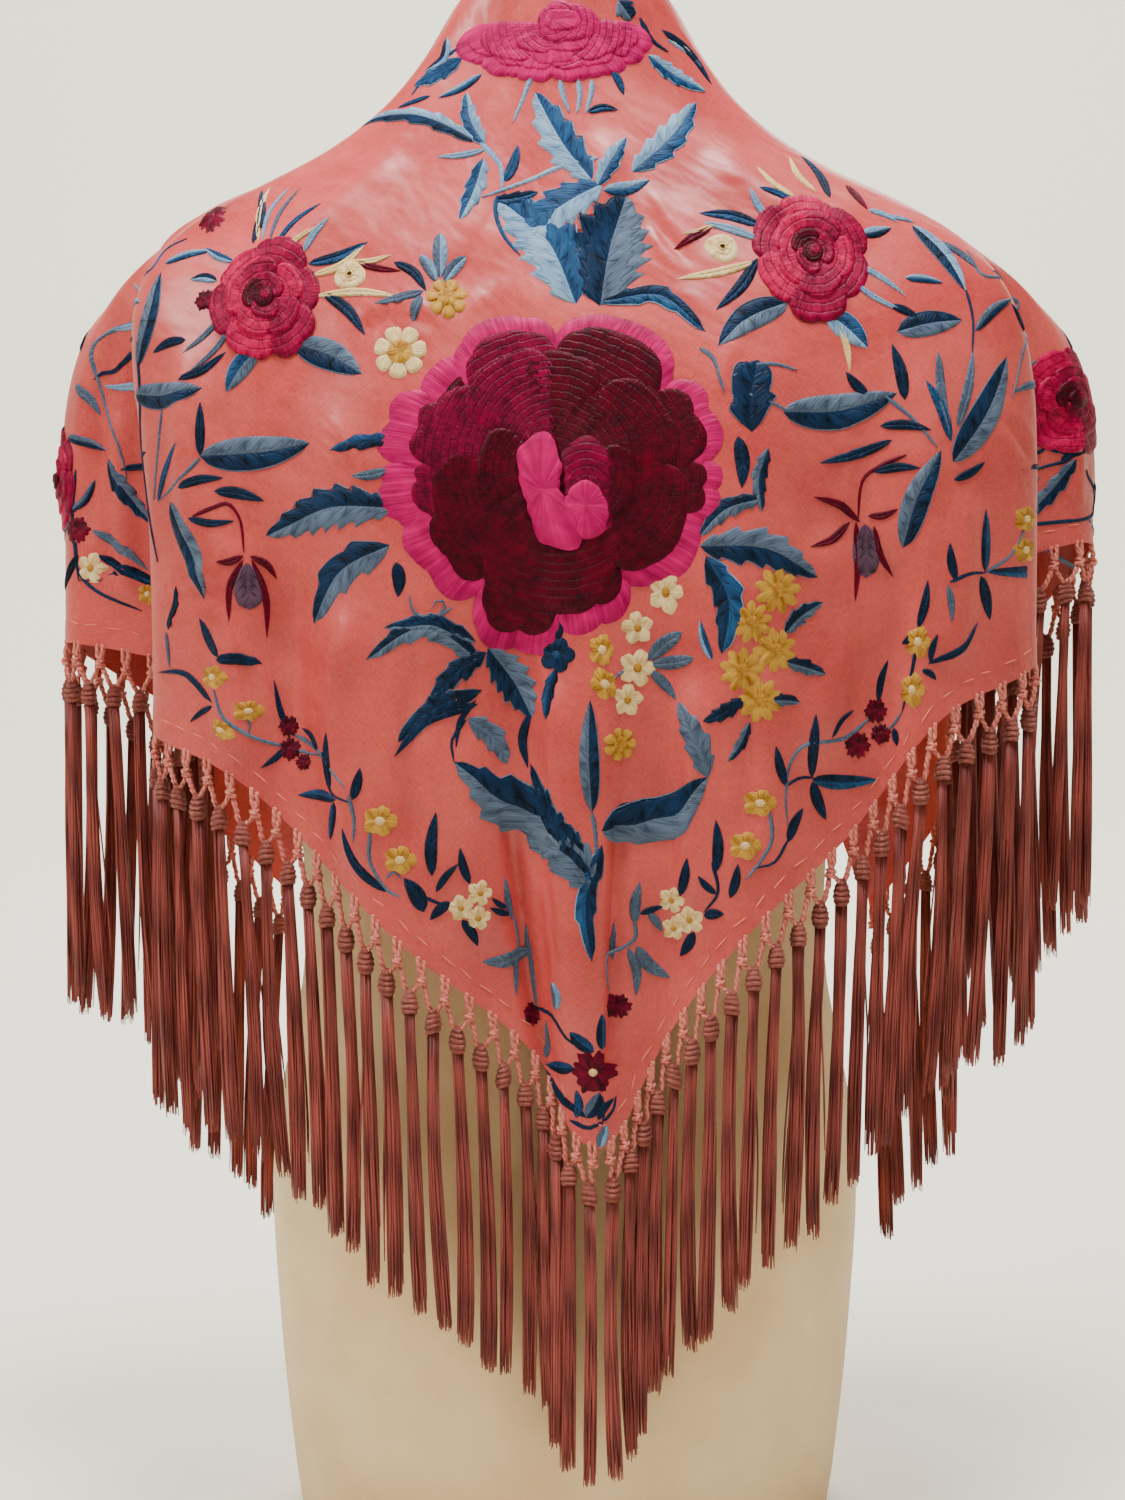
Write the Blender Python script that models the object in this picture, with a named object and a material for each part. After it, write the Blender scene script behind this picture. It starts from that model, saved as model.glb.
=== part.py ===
"""A fringed triangular shawl draped on a limbless dress form.

The form stands on its flat base at the origin, +Z up, and its back faces -Y. The shawl is one
right-angled triangle of cloth. Its long edge goes round the neck and down the two fronts, and its
right angle hangs at the centre of the back. A knotted fringe hangs from each of its short edges.
"""

import math
from collections import namedtuple

import bmesh
import bpy
from mathutils import Vector

# ---- driving dimensions, in metres ----------------------------------------------------------
WALL = 0.0012             # thickness of the hemmed cloth
CLOTH_CLEAR = 0.0008      # how far the corners of the cloth's faces stay off the form
FACE_CLEAR = 0.0008       # and how far their middles do
SEATING_PASSES = 8
SEAM_GAP = 0.0004         # between the cloth's edge and the strip of the fringe
TASSELS_A_LEG = 50        # tassels along each short edge, one for each column of the cloth
ROWS = 13                 # rows of faces from the neck edge to the hem
FRINGE_DROP = 0.176       # from the hem's tip to the ends of its tassels
FRONT_LONGER = 0.022      # and how much longer they are from the arms to the front
LONGEST_FROM = 24         # the tassel from which they are
FORM_SIDES = 40
RINGS_A_STRETCH = 2       # rings of faces between two rows of the form's table
FORM_SQUARENESS = 2.15    # exponent of the form's oval, where 2 is an ellipse

# Rings of the dress form, base to neck: height, half width, half depth, centre's place along Y.
Ring = namedtuple("Ring", "name z half_width half_depth centre_y")
FORM = [
    Ring("base", 0.000, 0.146, 0.098, 0.000),
    Ring("low_hip", 0.100, 0.156, 0.106, 0.000),
    Ring("hip", 0.200, 0.159, 0.108, 0.000),
    Ring("waist", 0.310, 0.141, 0.094, 0.002),
    Ring("ribs", 0.430, 0.150, 0.100, 0.004),
    Ring("chest", 0.540, 0.168, 0.108, 0.004),
    Ring("blades", 0.600, 0.189, 0.108, 0.001),
    Ring("arm_end", 0.648, 0.215, 0.098, -0.002),
    Ring("shoulder", 0.682, 0.211, 0.084, -0.004),
    Ring("slope", 0.705, 0.178, 0.073, -0.005),
    Ring("slope_in", 0.725, 0.132, 0.064, -0.004),
    Ring("neck_root", 0.745, 0.088, 0.057, -0.002),
    Ring("neck_low", 0.767, 0.062, 0.052, 0.001),
    Ring("neck", 0.795, 0.051, 0.048, 0.003),
    Ring("neck_top", 0.850, 0.050, 0.048, 0.004),
]
NECK_CAP_ROUND = 0.006    # rounding of the neck's flat top

# The long edge of the triangle, from the nape to a front corner. The right corner hangs lower.
EdgePoint = namedtuple("EdgePoint", "name y right_x right_z left_x left_z")
LONG_EDGE = [
    EdgePoint("nape", -0.053, 0.000, 0.826, 0.000, 0.826),
    EdgePoint("behind_neck", -0.040, 0.044, 0.815, -0.044, 0.815),
    EdgePoint("neck_side", 0.002, 0.066, 0.789, -0.066, 0.789),
    EdgePoint("neck_front", 0.052, 0.062, 0.744, -0.062, 0.744),
    EdgePoint("upper_chest", 0.101, 0.082, 0.660, -0.080, 0.664),
    EdgePoint("chest", 0.122, 0.112, 0.548, -0.104, 0.560),
    EdgePoint("ribs", 0.131, 0.147, 0.432, -0.130, 0.456),
    EdgePoint("corner", 0.134, 0.166, 0.330, -0.150, 0.343),
]

# Sections of the cloth, from the centre of the back to a front corner. along_edge is the share of
# the long edge at which a section starts, and top is where it leaves the right shoulder. On the left
# its top moves with its start. Its end on the hem has its own place on the right and on the left,
# because the shawl hangs unevenly.
Section = namedtuple(
    "Section", "name along_edge top_x top_y top_z hem_y right_x right_z left_x left_z"
)
SECTIONS = [
    Section("tip", 0.00, 0.000, -0.113, 0.630, -0.133, 0.019, 0.225, 0.019, 0.225),
    Section("tip_side", 0.01, 0.016, -0.113, 0.631, -0.129, 0.027, 0.232, 0.005, 0.231),
    Section("tail", 0.02, 0.034, -0.112, 0.632, -0.122, 0.052, 0.281, -0.019, 0.275),
    Section("low_back", 0.06, 0.084, -0.112, 0.636, -0.134, 0.092, 0.335, -0.084, 0.331),
    Section("mid_back", 0.10, 0.134, -0.099, 0.650, -0.108, 0.146, 0.384, -0.138, 0.385),
    Section("blade", 0.13, 0.184, -0.085, 0.662, -0.106, 0.190, 0.440, -0.173, 0.414),
    Section("back_fold", 0.16, 0.230, -0.057, 0.672, -0.062, 0.244, 0.467, -0.214, 0.431),
    Section("back_valley", 0.19, 0.234, -0.021, 0.678, -0.016, 0.212, 0.502, -0.188, 0.455),
    Section("arm", 0.24, 0.244, 0.010, 0.672, 0.014, 0.285, 0.527, -0.268, 0.472),
    Section("arm_front", 0.32, 0.230, 0.046, 0.664, 0.066, 0.271, 0.492, -0.263, 0.458),
    Section("front_valley", 0.44, 0.188, 0.076, 0.624, 0.088, 0.222, 0.428, -0.208, 0.416),
    Section("front_fold", 0.62, 0.156, 0.113, 0.540, 0.124, 0.226, 0.374, -0.222, 0.378),
    Section("corner", 0.96, 0.174, 0.136, 0.324, 0.142, 0.182, 0.304, -0.165, 0.318),
]
ROOT_SHARE = 0.38         # where a section meets the neck's root, on its way from edge to top
ROOT_TUCK = 0.82          # how far it is drawn in there towards the neck's axis
ROOT_DIP = 0.022          # and how far down
TUCK_FROM = 0.70          # a section that starts below this height isn't drawn in,
TUCK_FULL = 0.78          # and one that starts above this is drawn in fully
HANG_SHARE = 0.34         # how far down its free length a section hangs plumb over its hem
HANG_PULL = 0.88          # and how much of its sideways way it has gone by then

# Knotted net of the fringe, in metres below the strip's top edge or either side of a centre.
STRIP_DEEP = 0.0026
STRIP_HALF_THICK = 0.0006
STEM_HALF_WIDE = 0.0021
TIP_END = 0.30            # share of a pitch by which the strip stays short of the tip
CORNER_END = 0.10         # and of the front corner
Knot = namedtuple("Knot", "top side low half_wide half_thick")
LINK_KNOT = Knot(top=0.0085, side=0.0105, low=0.0120, half_wide=0.0016, half_thick=0.0012)
TASSEL_HEAD = Knot(top=0.0195, side=0.0205, low=0.0310, half_wide=0.0028, half_thick=0.0024)
HEAD_TOP_THICK = 0.0013
LOCK_HALF_WIDE = 0.0026
LOCK_HALF_THICK = 0.0022
LOCK_END_HALF_WIDE = 0.0029
LOCK_MIDDLE = 0.5         # share of a lock's length at its middle ring
DROP_UNEVEN = 0.005       # tassels end this far above or below their even line

CLOTH_COLOUR = (0.72, 0.20, 0.15, 1.0)
FRINGE_COLOUR = (0.44, 0.12, 0.09, 1.0)
FORM_COLOUR = (0.70, 0.53, 0.37, 1.0)


# ---- curves and tables ----------------------------------------------------------------------
def spline(values, place):
    """A uniform Catmull-Rom curve through a list of numbers or vectors; place runs 0 to len - 1."""
    last = len(values) - 1
    start = min(max(int(place), 0), last - 1)
    t = place - start
    here, after = values[start], values[start + 1]
    before = values[start - 1] if start > 0 else here * 2 - after
    beyond = values[start + 2] if start + 2 <= last else after * 2 - here
    return 0.5 * (
        here * 2
        + (after - before) * t
        + (before * 2 - here * 5 + after * 4 - beyond) * t * t
        + (here * 3 - before - after * 3 + beyond) * t * t * t
    )


def even_places(curve, last, count, samples=600):
    """The count + 1 places between 0 and last that cut a curve into stretches of equal length."""
    lengths = [0.0]
    point = curve(0.0)
    for step in range(1, samples + 1):
        nearer = curve(last * step / samples)
        lengths.append(lengths[-1] + (nearer - point).length)
        point = nearer
    places = []
    step = 0
    for stretch in range(count + 1):
        wanted = lengths[-1] * stretch / count
        while step < samples - 1 and lengths[step + 1] < wanted:
            step += 1
        share = (wanted - lengths[step]) / (lengths[step + 1] - lengths[step])
        places.append(last * (step + share) / samples)
    return places


# ---- dress form -----------------------------------------------------------------------------
def form_ring(z):
    """Half width, half depth and centre's Y of the form at a height."""
    z = min(max(z, FORM[0].z), FORM[-1].z)
    below = max(k for k in range(len(FORM) - 1) if FORM[k].z <= z)
    place = below + (z - FORM[below].z) / (FORM[below + 1].z - FORM[below].z)
    return (
        spline([ring.half_width for ring in FORM], place),
        spline([ring.half_depth for ring in FORM], place),
        spline([ring.centre_y for ring in FORM], place),
    )


def form_level(point):
    """1 on the form's surface, less inside it and more outside."""
    half_width, half_depth, centre_y = form_ring(point.z)
    across = abs(point.x / half_width) ** FORM_SQUARENESS
    deep = abs((point.y - centre_y) / half_depth) ** FORM_SQUARENESS
    return (across + deep) ** (1.0 / FORM_SQUARENESS)


def off_the_form(point, clear=CLOTH_CLEAR):
    """The point, moved straight out of the form until it is clear of its surface by that much."""
    step = 0.0004
    for _ in range(12):
        slope = Vector(
            (form_level(point + axis * step) - form_level(point - axis * step)) / (2 * step)
            for axis in (Vector((1, 0, 0)), Vector((0, 1, 0)), Vector((0, 0, 1)))
        )
        distance = (form_level(point) - 1.0) / slope.length
        if distance >= clear:
            break
        point = point + slope.normalized() * (clear - distance)
    return point


def build_form():
    """The torso: oval rings from a flat base to a flat, rounded neck top."""
    rings = []
    for low, high in zip(FORM, FORM[1:]):
        for k in range(RINGS_A_STRETCH):
            z = low.z + (high.z - low.z) * k / RINGS_A_STRETCH
            rings.append((z, *form_ring(z)))
    half_width, half_depth, centre_y = form_ring(FORM[-1].z)
    for turn in (0.0, 45.0, 90.0):
        inset = NECK_CAP_ROUND * (1 - math.cos(math.radians(turn)))
        rise = NECK_CAP_ROUND * math.sin(math.radians(turn))
        z = FORM[-1].z - NECK_CAP_ROUND + rise
        rings.append((z, half_width - inset, half_depth - inset, centre_y))
    mesh = bmesh.new()
    loops = []
    for z, half_width, half_depth, centre_y in rings:
        loop = []
        for side in range(FORM_SIDES):
            angle = 2 * math.pi * side / FORM_SIDES
            c, s = math.cos(angle), math.sin(angle)
            power = 2.0 / FORM_SQUARENESS
            x = half_width * math.copysign(abs(c) ** power, c)
            y = centre_y + half_depth * math.copysign(abs(s) ** power, s)
            loop.append(mesh.verts.new((x, y, z)))
        loops.append(loop)
    for low, high in zip(loops, loops[1:]):
        for side in range(FORM_SIDES):
            after = (side + 1) % FORM_SIDES
            mesh.faces.new((low[side], low[after], high[after], high[side]))
    mesh.faces.new(reversed(loops[0]))
    mesh.faces.new(loops[-1])
    return mesh


# ---- cloth ----------------------------------------------------------------------------------
def on_side(row, y, side):
    """The row's point on the right, where side is 1, or on the left."""
    if side > 0:
        return Vector((row.right_x, y, row.right_z))
    return Vector((row.left_x, y, row.left_z))


def hem_curve(side):
    """The hem from the tip to a front corner; side is 1 on the right and -1 on the left."""
    points = [on_side(row, row.hem_y, side) for row in SECTIONS]
    return lambda place: spline(points, place)


def section_points(side, place):
    """A section of the cloth as ROWS + 1 points, from the long edge down to the hem."""
    start_share = min(max(spline([row.along_edge for row in SECTIONS], place), 0.0), 1.0)
    start, right_start = (
        spline([on_side(point, point.y, half) for point in LONG_EDGE], start_share * (len(LONG_EDGE) - 1))
        for half in (side, 1)
    )
    top = spline([Vector((row.top_x * side, row.top_y, row.top_z)) for row in SECTIONS], place)
    top = top + start - Vector((right_start.x * side, right_start.y, right_start.z))
    end = hem_curve(side)(place)
    root = start.lerp(top, ROOT_SHARE)
    tucked = min(max((start.z - TUCK_FROM) / (TUCK_FULL - TUCK_FROM), 0.0), 1.0)
    root = root.lerp(Vector((root.x * ROOT_TUCK, root.y * ROOT_TUCK, root.z - ROOT_DIP)), tucked)
    plumb = top.lerp(end, HANG_PULL)
    plumb.z = top.z + (end.z - top.z) * HANG_SHARE
    controls = [start, root, top, plumb, end]
    last = len(controls) - 1
    return [spline(controls, at) for at in even_places(lambda at: spline(controls, at), last, ROWS, 60)]


def cloth_grid():
    """Columns of points on the inside of the cloth, from the left corner to the right one."""
    halves = {}
    last = len(SECTIONS) - 1
    for side in (-1, 1):
        places = even_places(hem_curve(side), last, TASSELS_A_LEG)
        halves[side] = [section_points(side, place) for place in places]
    columns = halves[-1][:0:-1] + halves[1]
    for _ in range(3):
        columns = [[off_the_form(point) for point in column] for column in columns]
        for column in columns:
            relaxed = [(column[j - 1] + column[j] * 2 + column[j + 1]) / 4 for j in range(1, ROWS)]
            column[1:ROWS] = relaxed
    columns = [[off_the_form(point) for point in column] for column in columns]
    for _ in range(SEATING_PASSES):
        lift_faces(columns)
    return columns


def lift_faces(columns):
    """Moves the corners of each face whose middle would dip into the form, so that it rests on it."""
    for left, right in zip(columns, columns[1:]):
        for j in range(ROWS):
            middle = (left[j] + left[j + 1] + right[j] + right[j + 1]) / 4
            lift = off_the_form(middle, FACE_CLEAR) - middle
            if lift.length > 0.0:
                for column in (left, right):
                    column[j] = column[j] + lift
                    column[j + 1] = column[j + 1] + lift


def level_normals(points):
    """For each point of a line, the level direction square to the line, away from the form."""
    normals = []
    for k, point in enumerate(points):
        run = points[min(k + 1, len(points) - 1)] - points[max(k - 1, 0)]
        normals.append(Vector((run.y, -run.x, 0.0)).normalized())
    return normals


def cloth_normals(columns):
    """The outward direction at each point of the grid, level along the hem."""
    normals = []
    width, height = len(columns), len(columns[0])
    for i in range(width):
        column = []
        for j in range(height):
            along = columns[min(i + 1, width - 1)][j] - columns[max(i - 1, 0)][j]
            down = columns[i][min(j + 1, height - 1)] - columns[i][max(j - 1, 0)]
            column.append(down.cross(along).normalized())
        normals.append(column)
    for column, level in zip(normals, level_normals([column[-1] for column in columns])):
        column[-1] = level
    return normals


def build_cloth(columns, normals):
    """The wall: the grid, its copy moved out by WALL, and the four edges that close them."""
    mesh = bmesh.new()
    inner = [[mesh.verts.new(point) for point in column] for column in columns]
    outer = [
        [mesh.verts.new(point + normal * WALL) for point, normal in zip(column, outward)]
        for column, outward in zip(columns, normals)
    ]
    width, height = len(columns), len(columns[0])
    for i in range(width - 1):
        for j in range(height - 1):
            mesh.faces.new((outer[i][j], outer[i][j + 1], outer[i + 1][j + 1], outer[i + 1][j]))
            mesh.faces.new((inner[i][j], inner[i + 1][j], inner[i + 1][j + 1], inner[i][j + 1]))
        for j, flip in ((0, False), (height - 1, True)):
            rim = [inner[i][j], outer[i][j], outer[i + 1][j], inner[i + 1][j]]
            mesh.faces.new(rim[::-1] if flip else rim)
    for i, flip in ((0, True), (width - 1, False)):
        for j in range(height - 1):
            rim = [inner[i][j], outer[i][j], outer[i][j + 1], inner[i][j + 1]]
            mesh.faces.new(rim[::-1] if flip else rim)
    return mesh


# ---- fringe ---------------------------------------------------------------------------------
class Plate:
    """Flat polygons that share corners, given a thickness to make one closed solid."""

    def __init__(self):
        self.corners = {}
        self.polygons = []

    def corner(self, name, middle, normal, half_thick):
        """Names a corner by its middle point and the half thickness there."""
        self.corners[name] = (middle - normal * half_thick, middle + normal * half_thick)

    def polygon(self, *names):
        """Adds a polygon, its corners listed the same way round as its neighbours'."""
        self.polygons.append(names)

    def solid(self):
        """Back, front and a side on each edge that no second polygon uses."""
        mesh = bmesh.new()
        back, front = {}, {}
        for name, (behind, before) in self.corners.items():
            back[name] = mesh.verts.new(behind)
            front[name] = mesh.verts.new(before)
        edges = set()
        for names in self.polygons:
            edges.update(zip(names, names[1:] + names[:1]))
            mesh.faces.new([front[name] for name in names])
            mesh.faces.new([back[name] for name in reversed(names)])
        for a, b in edges:
            if (b, a) not in edges:
                mesh.faces.new((front[b], front[a], back[a], back[b]))
        return mesh


def build_fringe(hem, outward):
    """One leg's fringe, from the tip to a corner: strip, link knots, cords, heads and locks."""
    plate = Plate()
    count = len(hem) - 1
    along, drops = [], []
    for k in range(count + 1):
        run = hem[min(k + 1, count)] - hem[max(k - 1, 0)]
        level_run = Vector((run.x, run.y, 0.0))
        along.append(level_run.normalized())
        drops.append(SEAM_GAP * run.length / level_run.length)

    def between(values, place):
        start = min(int(place), count - 1)
        return values[start] + (values[start + 1] - values[start]) * (place - start)

    def frame(place):
        middle = between(hem, place) - Vector((0, 0, between(drops, place)))
        return middle, between(outward, place).normalized(), between(along, place).normalized()

    def strip_corner(name, place, down):
        middle, normal, _ = frame(place)
        plate.corner(name, middle - Vector((0, 0, down)), normal, STRIP_HALF_THICK)

    def hung_corner(name, place, across, down, half_thick):
        middle, normal, tangent = frame(place)
        plate.corner(name, middle + tangent * across - Vector((0, 0, down)), normal, half_thick)

    pitch = (hem[1] - hem[0]).length
    stem = STEM_HALF_WIDE / pitch
    knot_places = [TIP_END + stem, *range(1, count), count - CORNER_END - stem]
    top_places = [TIP_END, *range(1, count), count - CORNER_END]
    for k, place in enumerate(knot_places):
        strip_corner(("top", k), top_places[k], 0.0)
        strip_corner(("left", k), place - stem, STRIP_DEEP)
        strip_corner(("right", k), place + stem, STRIP_DEEP)
        wide, thick = LINK_KNOT.half_wide, LINK_KNOT.half_thick
        hung_corner(("knot_tl", k), place, -wide, LINK_KNOT.top, thick)
        hung_corner(("knot_tr", k), place, wide, LINK_KNOT.top, thick)
        hung_corner(("knot_l", k), place, -wide, LINK_KNOT.side, thick)
        hung_corner(("knot_r", k), place, wide, LINK_KNOT.side, thick)
        hung_corner(("knot_low", k), place, 0.0, LINK_KNOT.low, thick)
        plate.polygon(("left", k), ("knot_tl", k), ("knot_tr", k), ("right", k))
        plate.polygon(("knot_tl", k), ("knot_l", k), ("knot_low", k), ("knot_r", k), ("knot_tr", k))
        plate.polygon(("top", k), ("left", k), ("right", k))
    for k in range(count):
        place = k + 0.5
        plate.polygon(("top", k), ("right", k), ("left", k + 1), ("top", k + 1))
        wide, thick = TASSEL_HEAD.half_wide, TASSEL_HEAD.half_thick
        hung_corner(("head_l", k), place, -wide * 0.7, TASSEL_HEAD.side, HEAD_TOP_THICK)
        hung_corner(("head_m", k), place, 0.0, TASSEL_HEAD.top, HEAD_TOP_THICK)
        hung_corner(("head_r", k), place, wide * 0.7, TASSEL_HEAD.side, HEAD_TOP_THICK)
        hung_corner(("head_bl", k), place, -wide, TASSEL_HEAD.low, thick)
        hung_corner(("head_br", k), place, wide, TASSEL_HEAD.low, thick)
        plate.polygon(("knot_low", k), ("head_l", k), ("head_m", k), ("knot_r", k))
        plate.polygon(("knot_l", k + 1), ("head_m", k), ("head_r", k), ("knot_low", k + 1))
        plate.polygon(("head_l", k), ("head_bl", k), ("head_br", k), ("head_r", k), ("head_m", k))
        end = FRINGE_DROP + FRONT_LONGER * min(1.0, k / LONGEST_FROM)
        end += DROP_UNEVEN * math.sin(2.4 * k) * math.cos(1.1 * k)
        middle = TASSEL_HEAD.low + (end - TASSEL_HEAD.low) * LOCK_MIDDLE
        hung_corner(("lock_ml", k), place, -LOCK_HALF_WIDE, middle, LOCK_HALF_THICK)
        hung_corner(("lock_mr", k), place, LOCK_HALF_WIDE, middle, LOCK_HALF_THICK)
        hung_corner(("lock_el", k), place, -LOCK_END_HALF_WIDE, end, LOCK_HALF_THICK)
        hung_corner(("lock_er", k), place, LOCK_END_HALF_WIDE, end, LOCK_HALF_THICK)
        plate.polygon(("head_bl", k), ("lock_ml", k), ("lock_mr", k), ("head_br", k))
        plate.polygon(("lock_ml", k), ("lock_el", k), ("lock_er", k), ("lock_mr", k))
    return plate.solid()


# ---- objects --------------------------------------------------------------------------------
def material(name, colour, roughness):
    """A Principled material of a plain colour."""
    made = bpy.data.materials.new(name)
    made.use_nodes = True
    shader = made.node_tree.nodes["Principled BSDF"]
    shader.inputs["Base Color"].default_value = colour
    shader.inputs["Roughness"].default_value = roughness
    shader.inputs["Metallic"].default_value = 0.0
    return made


def place_object(name, mesh, finish, parent):
    """Makes the object, shades it smooth and hangs it on the part's empty."""
    bmesh.ops.recalc_face_normals(mesh, faces=mesh.faces)
    data = bpy.data.meshes.new(name)
    mesh.to_mesh(data)
    mesh.free()
    data.materials.append(finish)
    data.shade_smooth()
    data.set_sharp_from_angle(angle=math.radians(40))
    made = bpy.data.objects.new(name, data)
    made.parent = parent
    bpy.context.scene.collection.objects.link(made)
    return made


def main():
    """Builds the form, the cloth and its two fringes."""
    for old in list(bpy.data.objects):
        bpy.data.objects.remove(old)
    part = bpy.data.objects.new("shawl_on_form", None)
    bpy.context.scene.collection.objects.link(part)
    form_finish = material("form_jersey", FORM_COLOUR, 0.75)
    cloth_finish = material("coral_crepe", CLOTH_COLOUR, 0.5)
    fringe_finish = material("fringe_silk", FRINGE_COLOUR, 0.45)
    place_object("dress_form", build_form(), form_finish, part)
    columns = cloth_grid()
    normals = cloth_normals(columns)
    place_object("shawl_cloth", build_cloth(columns, normals), cloth_finish, part)
    hem = [column[-1] + outward[-1] * WALL / 2 for column, outward in zip(columns, normals)]
    level = [outward[-1] for outward in normals]
    tip = TASSELS_A_LEG
    place_object("fringe_right", build_fringe(hem[tip:], level[tip:]), fringe_finish, part)
    left_hem, left_level = hem[tip::-1], level[tip::-1]
    place_object("fringe_left", build_fringe(left_hem, left_level), fringe_finish, part)


main()
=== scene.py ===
"""An embroidered silk shawl with a knotted fringe, draped on a limbless dress form.

Everything is in metres in the frame's own axes: +Z up, the shawl's back faces -Y, and the origin is
the middle of the form's flat base. Places on the back of the shawl are given as the photograph's
pixels, taken through the camera on to the cloth. Places on the fronts and at the arms are given in
millimetres, as seen square on.
"""

import logging
import math
import random
from dataclasses import dataclass, field
from enum import Enum
from typing import Callable, NamedTuple, Sequence, TypeVar

import bpy
import numpy as np
from mathutils import Matrix, Vector
from mathutils.bvhtree import BVHTree


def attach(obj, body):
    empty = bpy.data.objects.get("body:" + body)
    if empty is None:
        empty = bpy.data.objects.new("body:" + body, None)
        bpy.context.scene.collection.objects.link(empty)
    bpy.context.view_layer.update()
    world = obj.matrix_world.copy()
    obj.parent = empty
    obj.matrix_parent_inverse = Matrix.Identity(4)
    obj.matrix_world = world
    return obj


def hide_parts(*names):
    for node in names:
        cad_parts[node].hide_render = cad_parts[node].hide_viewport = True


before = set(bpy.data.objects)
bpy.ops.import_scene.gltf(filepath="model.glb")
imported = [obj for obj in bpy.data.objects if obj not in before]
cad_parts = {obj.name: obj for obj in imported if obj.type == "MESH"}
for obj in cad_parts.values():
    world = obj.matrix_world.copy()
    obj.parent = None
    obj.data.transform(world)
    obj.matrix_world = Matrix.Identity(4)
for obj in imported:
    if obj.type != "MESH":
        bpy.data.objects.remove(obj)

log = logging.getLogger("shawl")

Colour = tuple[float, float, float, float]
Point = tuple[float, float]
Curve = Callable[[float], Vector]
Outline = Callable[[float], float]
Socket = bpy.types.NodeSocket
Fed = Socket | Colour | Vector | float
Knot = TypeVar("Knot", float, Vector, np.ndarray)


# ---- numbers, curves and Blender's tools ----------------------------------------------------------
def paint(red: int, green: int, blue: int) -> Colour:
    """Turns a colour given in 0 to 255 steps as a screen shows it into Blender's linear colour.

    Args:
        red: red as shown.
        green: green as shown.
        blue: blue as shown.

    Returns:
        The linear colour with full alpha.
    """
    def linear(step: int) -> float:
        """One channel's linear value."""
        share = step / 255
        return share / 12.92 if share <= 0.04045 else ((share + 0.055) / 1.055) ** 2.4

    return (linear(red), linear(green), linear(blue), 1.0)


def bend(before: Knot, here: Knot, after: Knot, beyond: Knot, t: float) -> Knot:
    """The Catmull-Rom curve between two knots.

    Args:
        before: the knot before the stretch.
        here: where the stretch starts.
        after: where it ends.
        beyond: the knot after it.
        t: how far along the stretch, from 0 to 1.

    Returns:
        The number, vector or array there.
    """
    return 0.5 * (
        here * 2
        + (after - before) * t
        + (before * 2 - here * 5 + after * 4 - beyond) * t * t
        + (here * 3 - before - after * 3 + beyond) * t * t * t
    )


def spline(values: Sequence[Knot], place: float) -> Knot:
    """A uniform Catmull-Rom curve through a list of numbers or vectors.

    Args:
        values: what the curve goes through.
        place: where on it, from 0 to one less than the number of values.

    Returns:
        The number or vector there.
    """
    last = len(values) - 1
    start = min(max(int(place), 0), last - 1)
    here, after = values[start], values[start + 1]
    before = values[start - 1] if start > 0 else here * 2 - after
    beyond = values[start + 2] if start + 2 <= last else after * 2 - here
    return bend(before, here, after, beyond, place - start)


def even_places(curve: Curve, last: float, count: int, samples: int = 600) -> list[float]:
    """Cuts a curve into stretches of equal length.

    Args:
        curve: the curve as a function of its place.
        last: the place where it ends.
        count: how many stretches.
        samples: how finely the curve is measured.

    Returns:
        The count + 1 places between 0 and last.
    """
    lengths = [0.0]
    point = curve(0.0)
    for step in range(1, samples + 1):
        nearer = curve(last * step / samples)
        lengths.append(lengths[-1] + (nearer - point).length)
        point = nearer
    places = []
    step = 0
    for stretch in range(count + 1):
        wanted = lengths[-1] * stretch / count
        while step < samples - 1 and lengths[step + 1] < wanted:
            step += 1
        share = (wanted - lengths[step]) / (lengths[step + 1] - lengths[step])
        places.append(last * (step + share) / samples)
    return places


def refine(points: np.ndarray, steps: int) -> np.ndarray:
    """Puts more points between the rows of an array, on Catmull-Rom curves through them.

    Args:
        points: the array, whose first axis is refined.
        steps: how many steps each gap gets.

    Returns:
        The finer array.
    """
    padded = np.concatenate([points[:1] * 2 - points[1:2], points, points[-1:] * 2 - points[-2:-1]])
    knots = (padded[:-3], padded[1:-2], padded[2:-1], padded[3:])
    rows = [bend(*knots, step / steps) for step in range(steps)]
    fine = np.stack(rows, axis=1).reshape((-1,) + points.shape[1:])
    return np.concatenate([fine, points[-1:]])


def ease(share: np.ndarray | float) -> np.ndarray | float:
    """A smooth step from 0 to 1."""
    held = np.clip(share, 0.0, 1.0)
    return held * held * (3 - 2 * held)


def held_share(share: float) -> float:
    """A share, held between 0 and 1."""
    return min(max(share, 0.0), 1.0)


def path_length(path: Sequence[Vector]) -> float:
    """How long a path is from point to point."""
    return sum((after - here).length for here, after in zip(path, path[1:]))


def deselect_everything() -> None:
    if bpy.context.object and bpy.context.object.mode != "OBJECT":
        bpy.ops.object.mode_set(mode="OBJECT")
    bpy.ops.object.select_all(action="DESELECT")


def make_active(thing: bpy.types.Object) -> None:
    """Selects one object alone and makes it the active one."""
    deselect_everything()
    thing.select_set(True)
    bpy.context.view_layer.objects.active = thing


def settle_in_mesh(thing: bpy.types.Object) -> None:
    """Puts a piece's place and turn into its mesh, so that the object itself stays at the origin."""
    make_active(thing)
    bpy.ops.object.transform_apply(location=True, rotation=True, scale=True)


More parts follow.
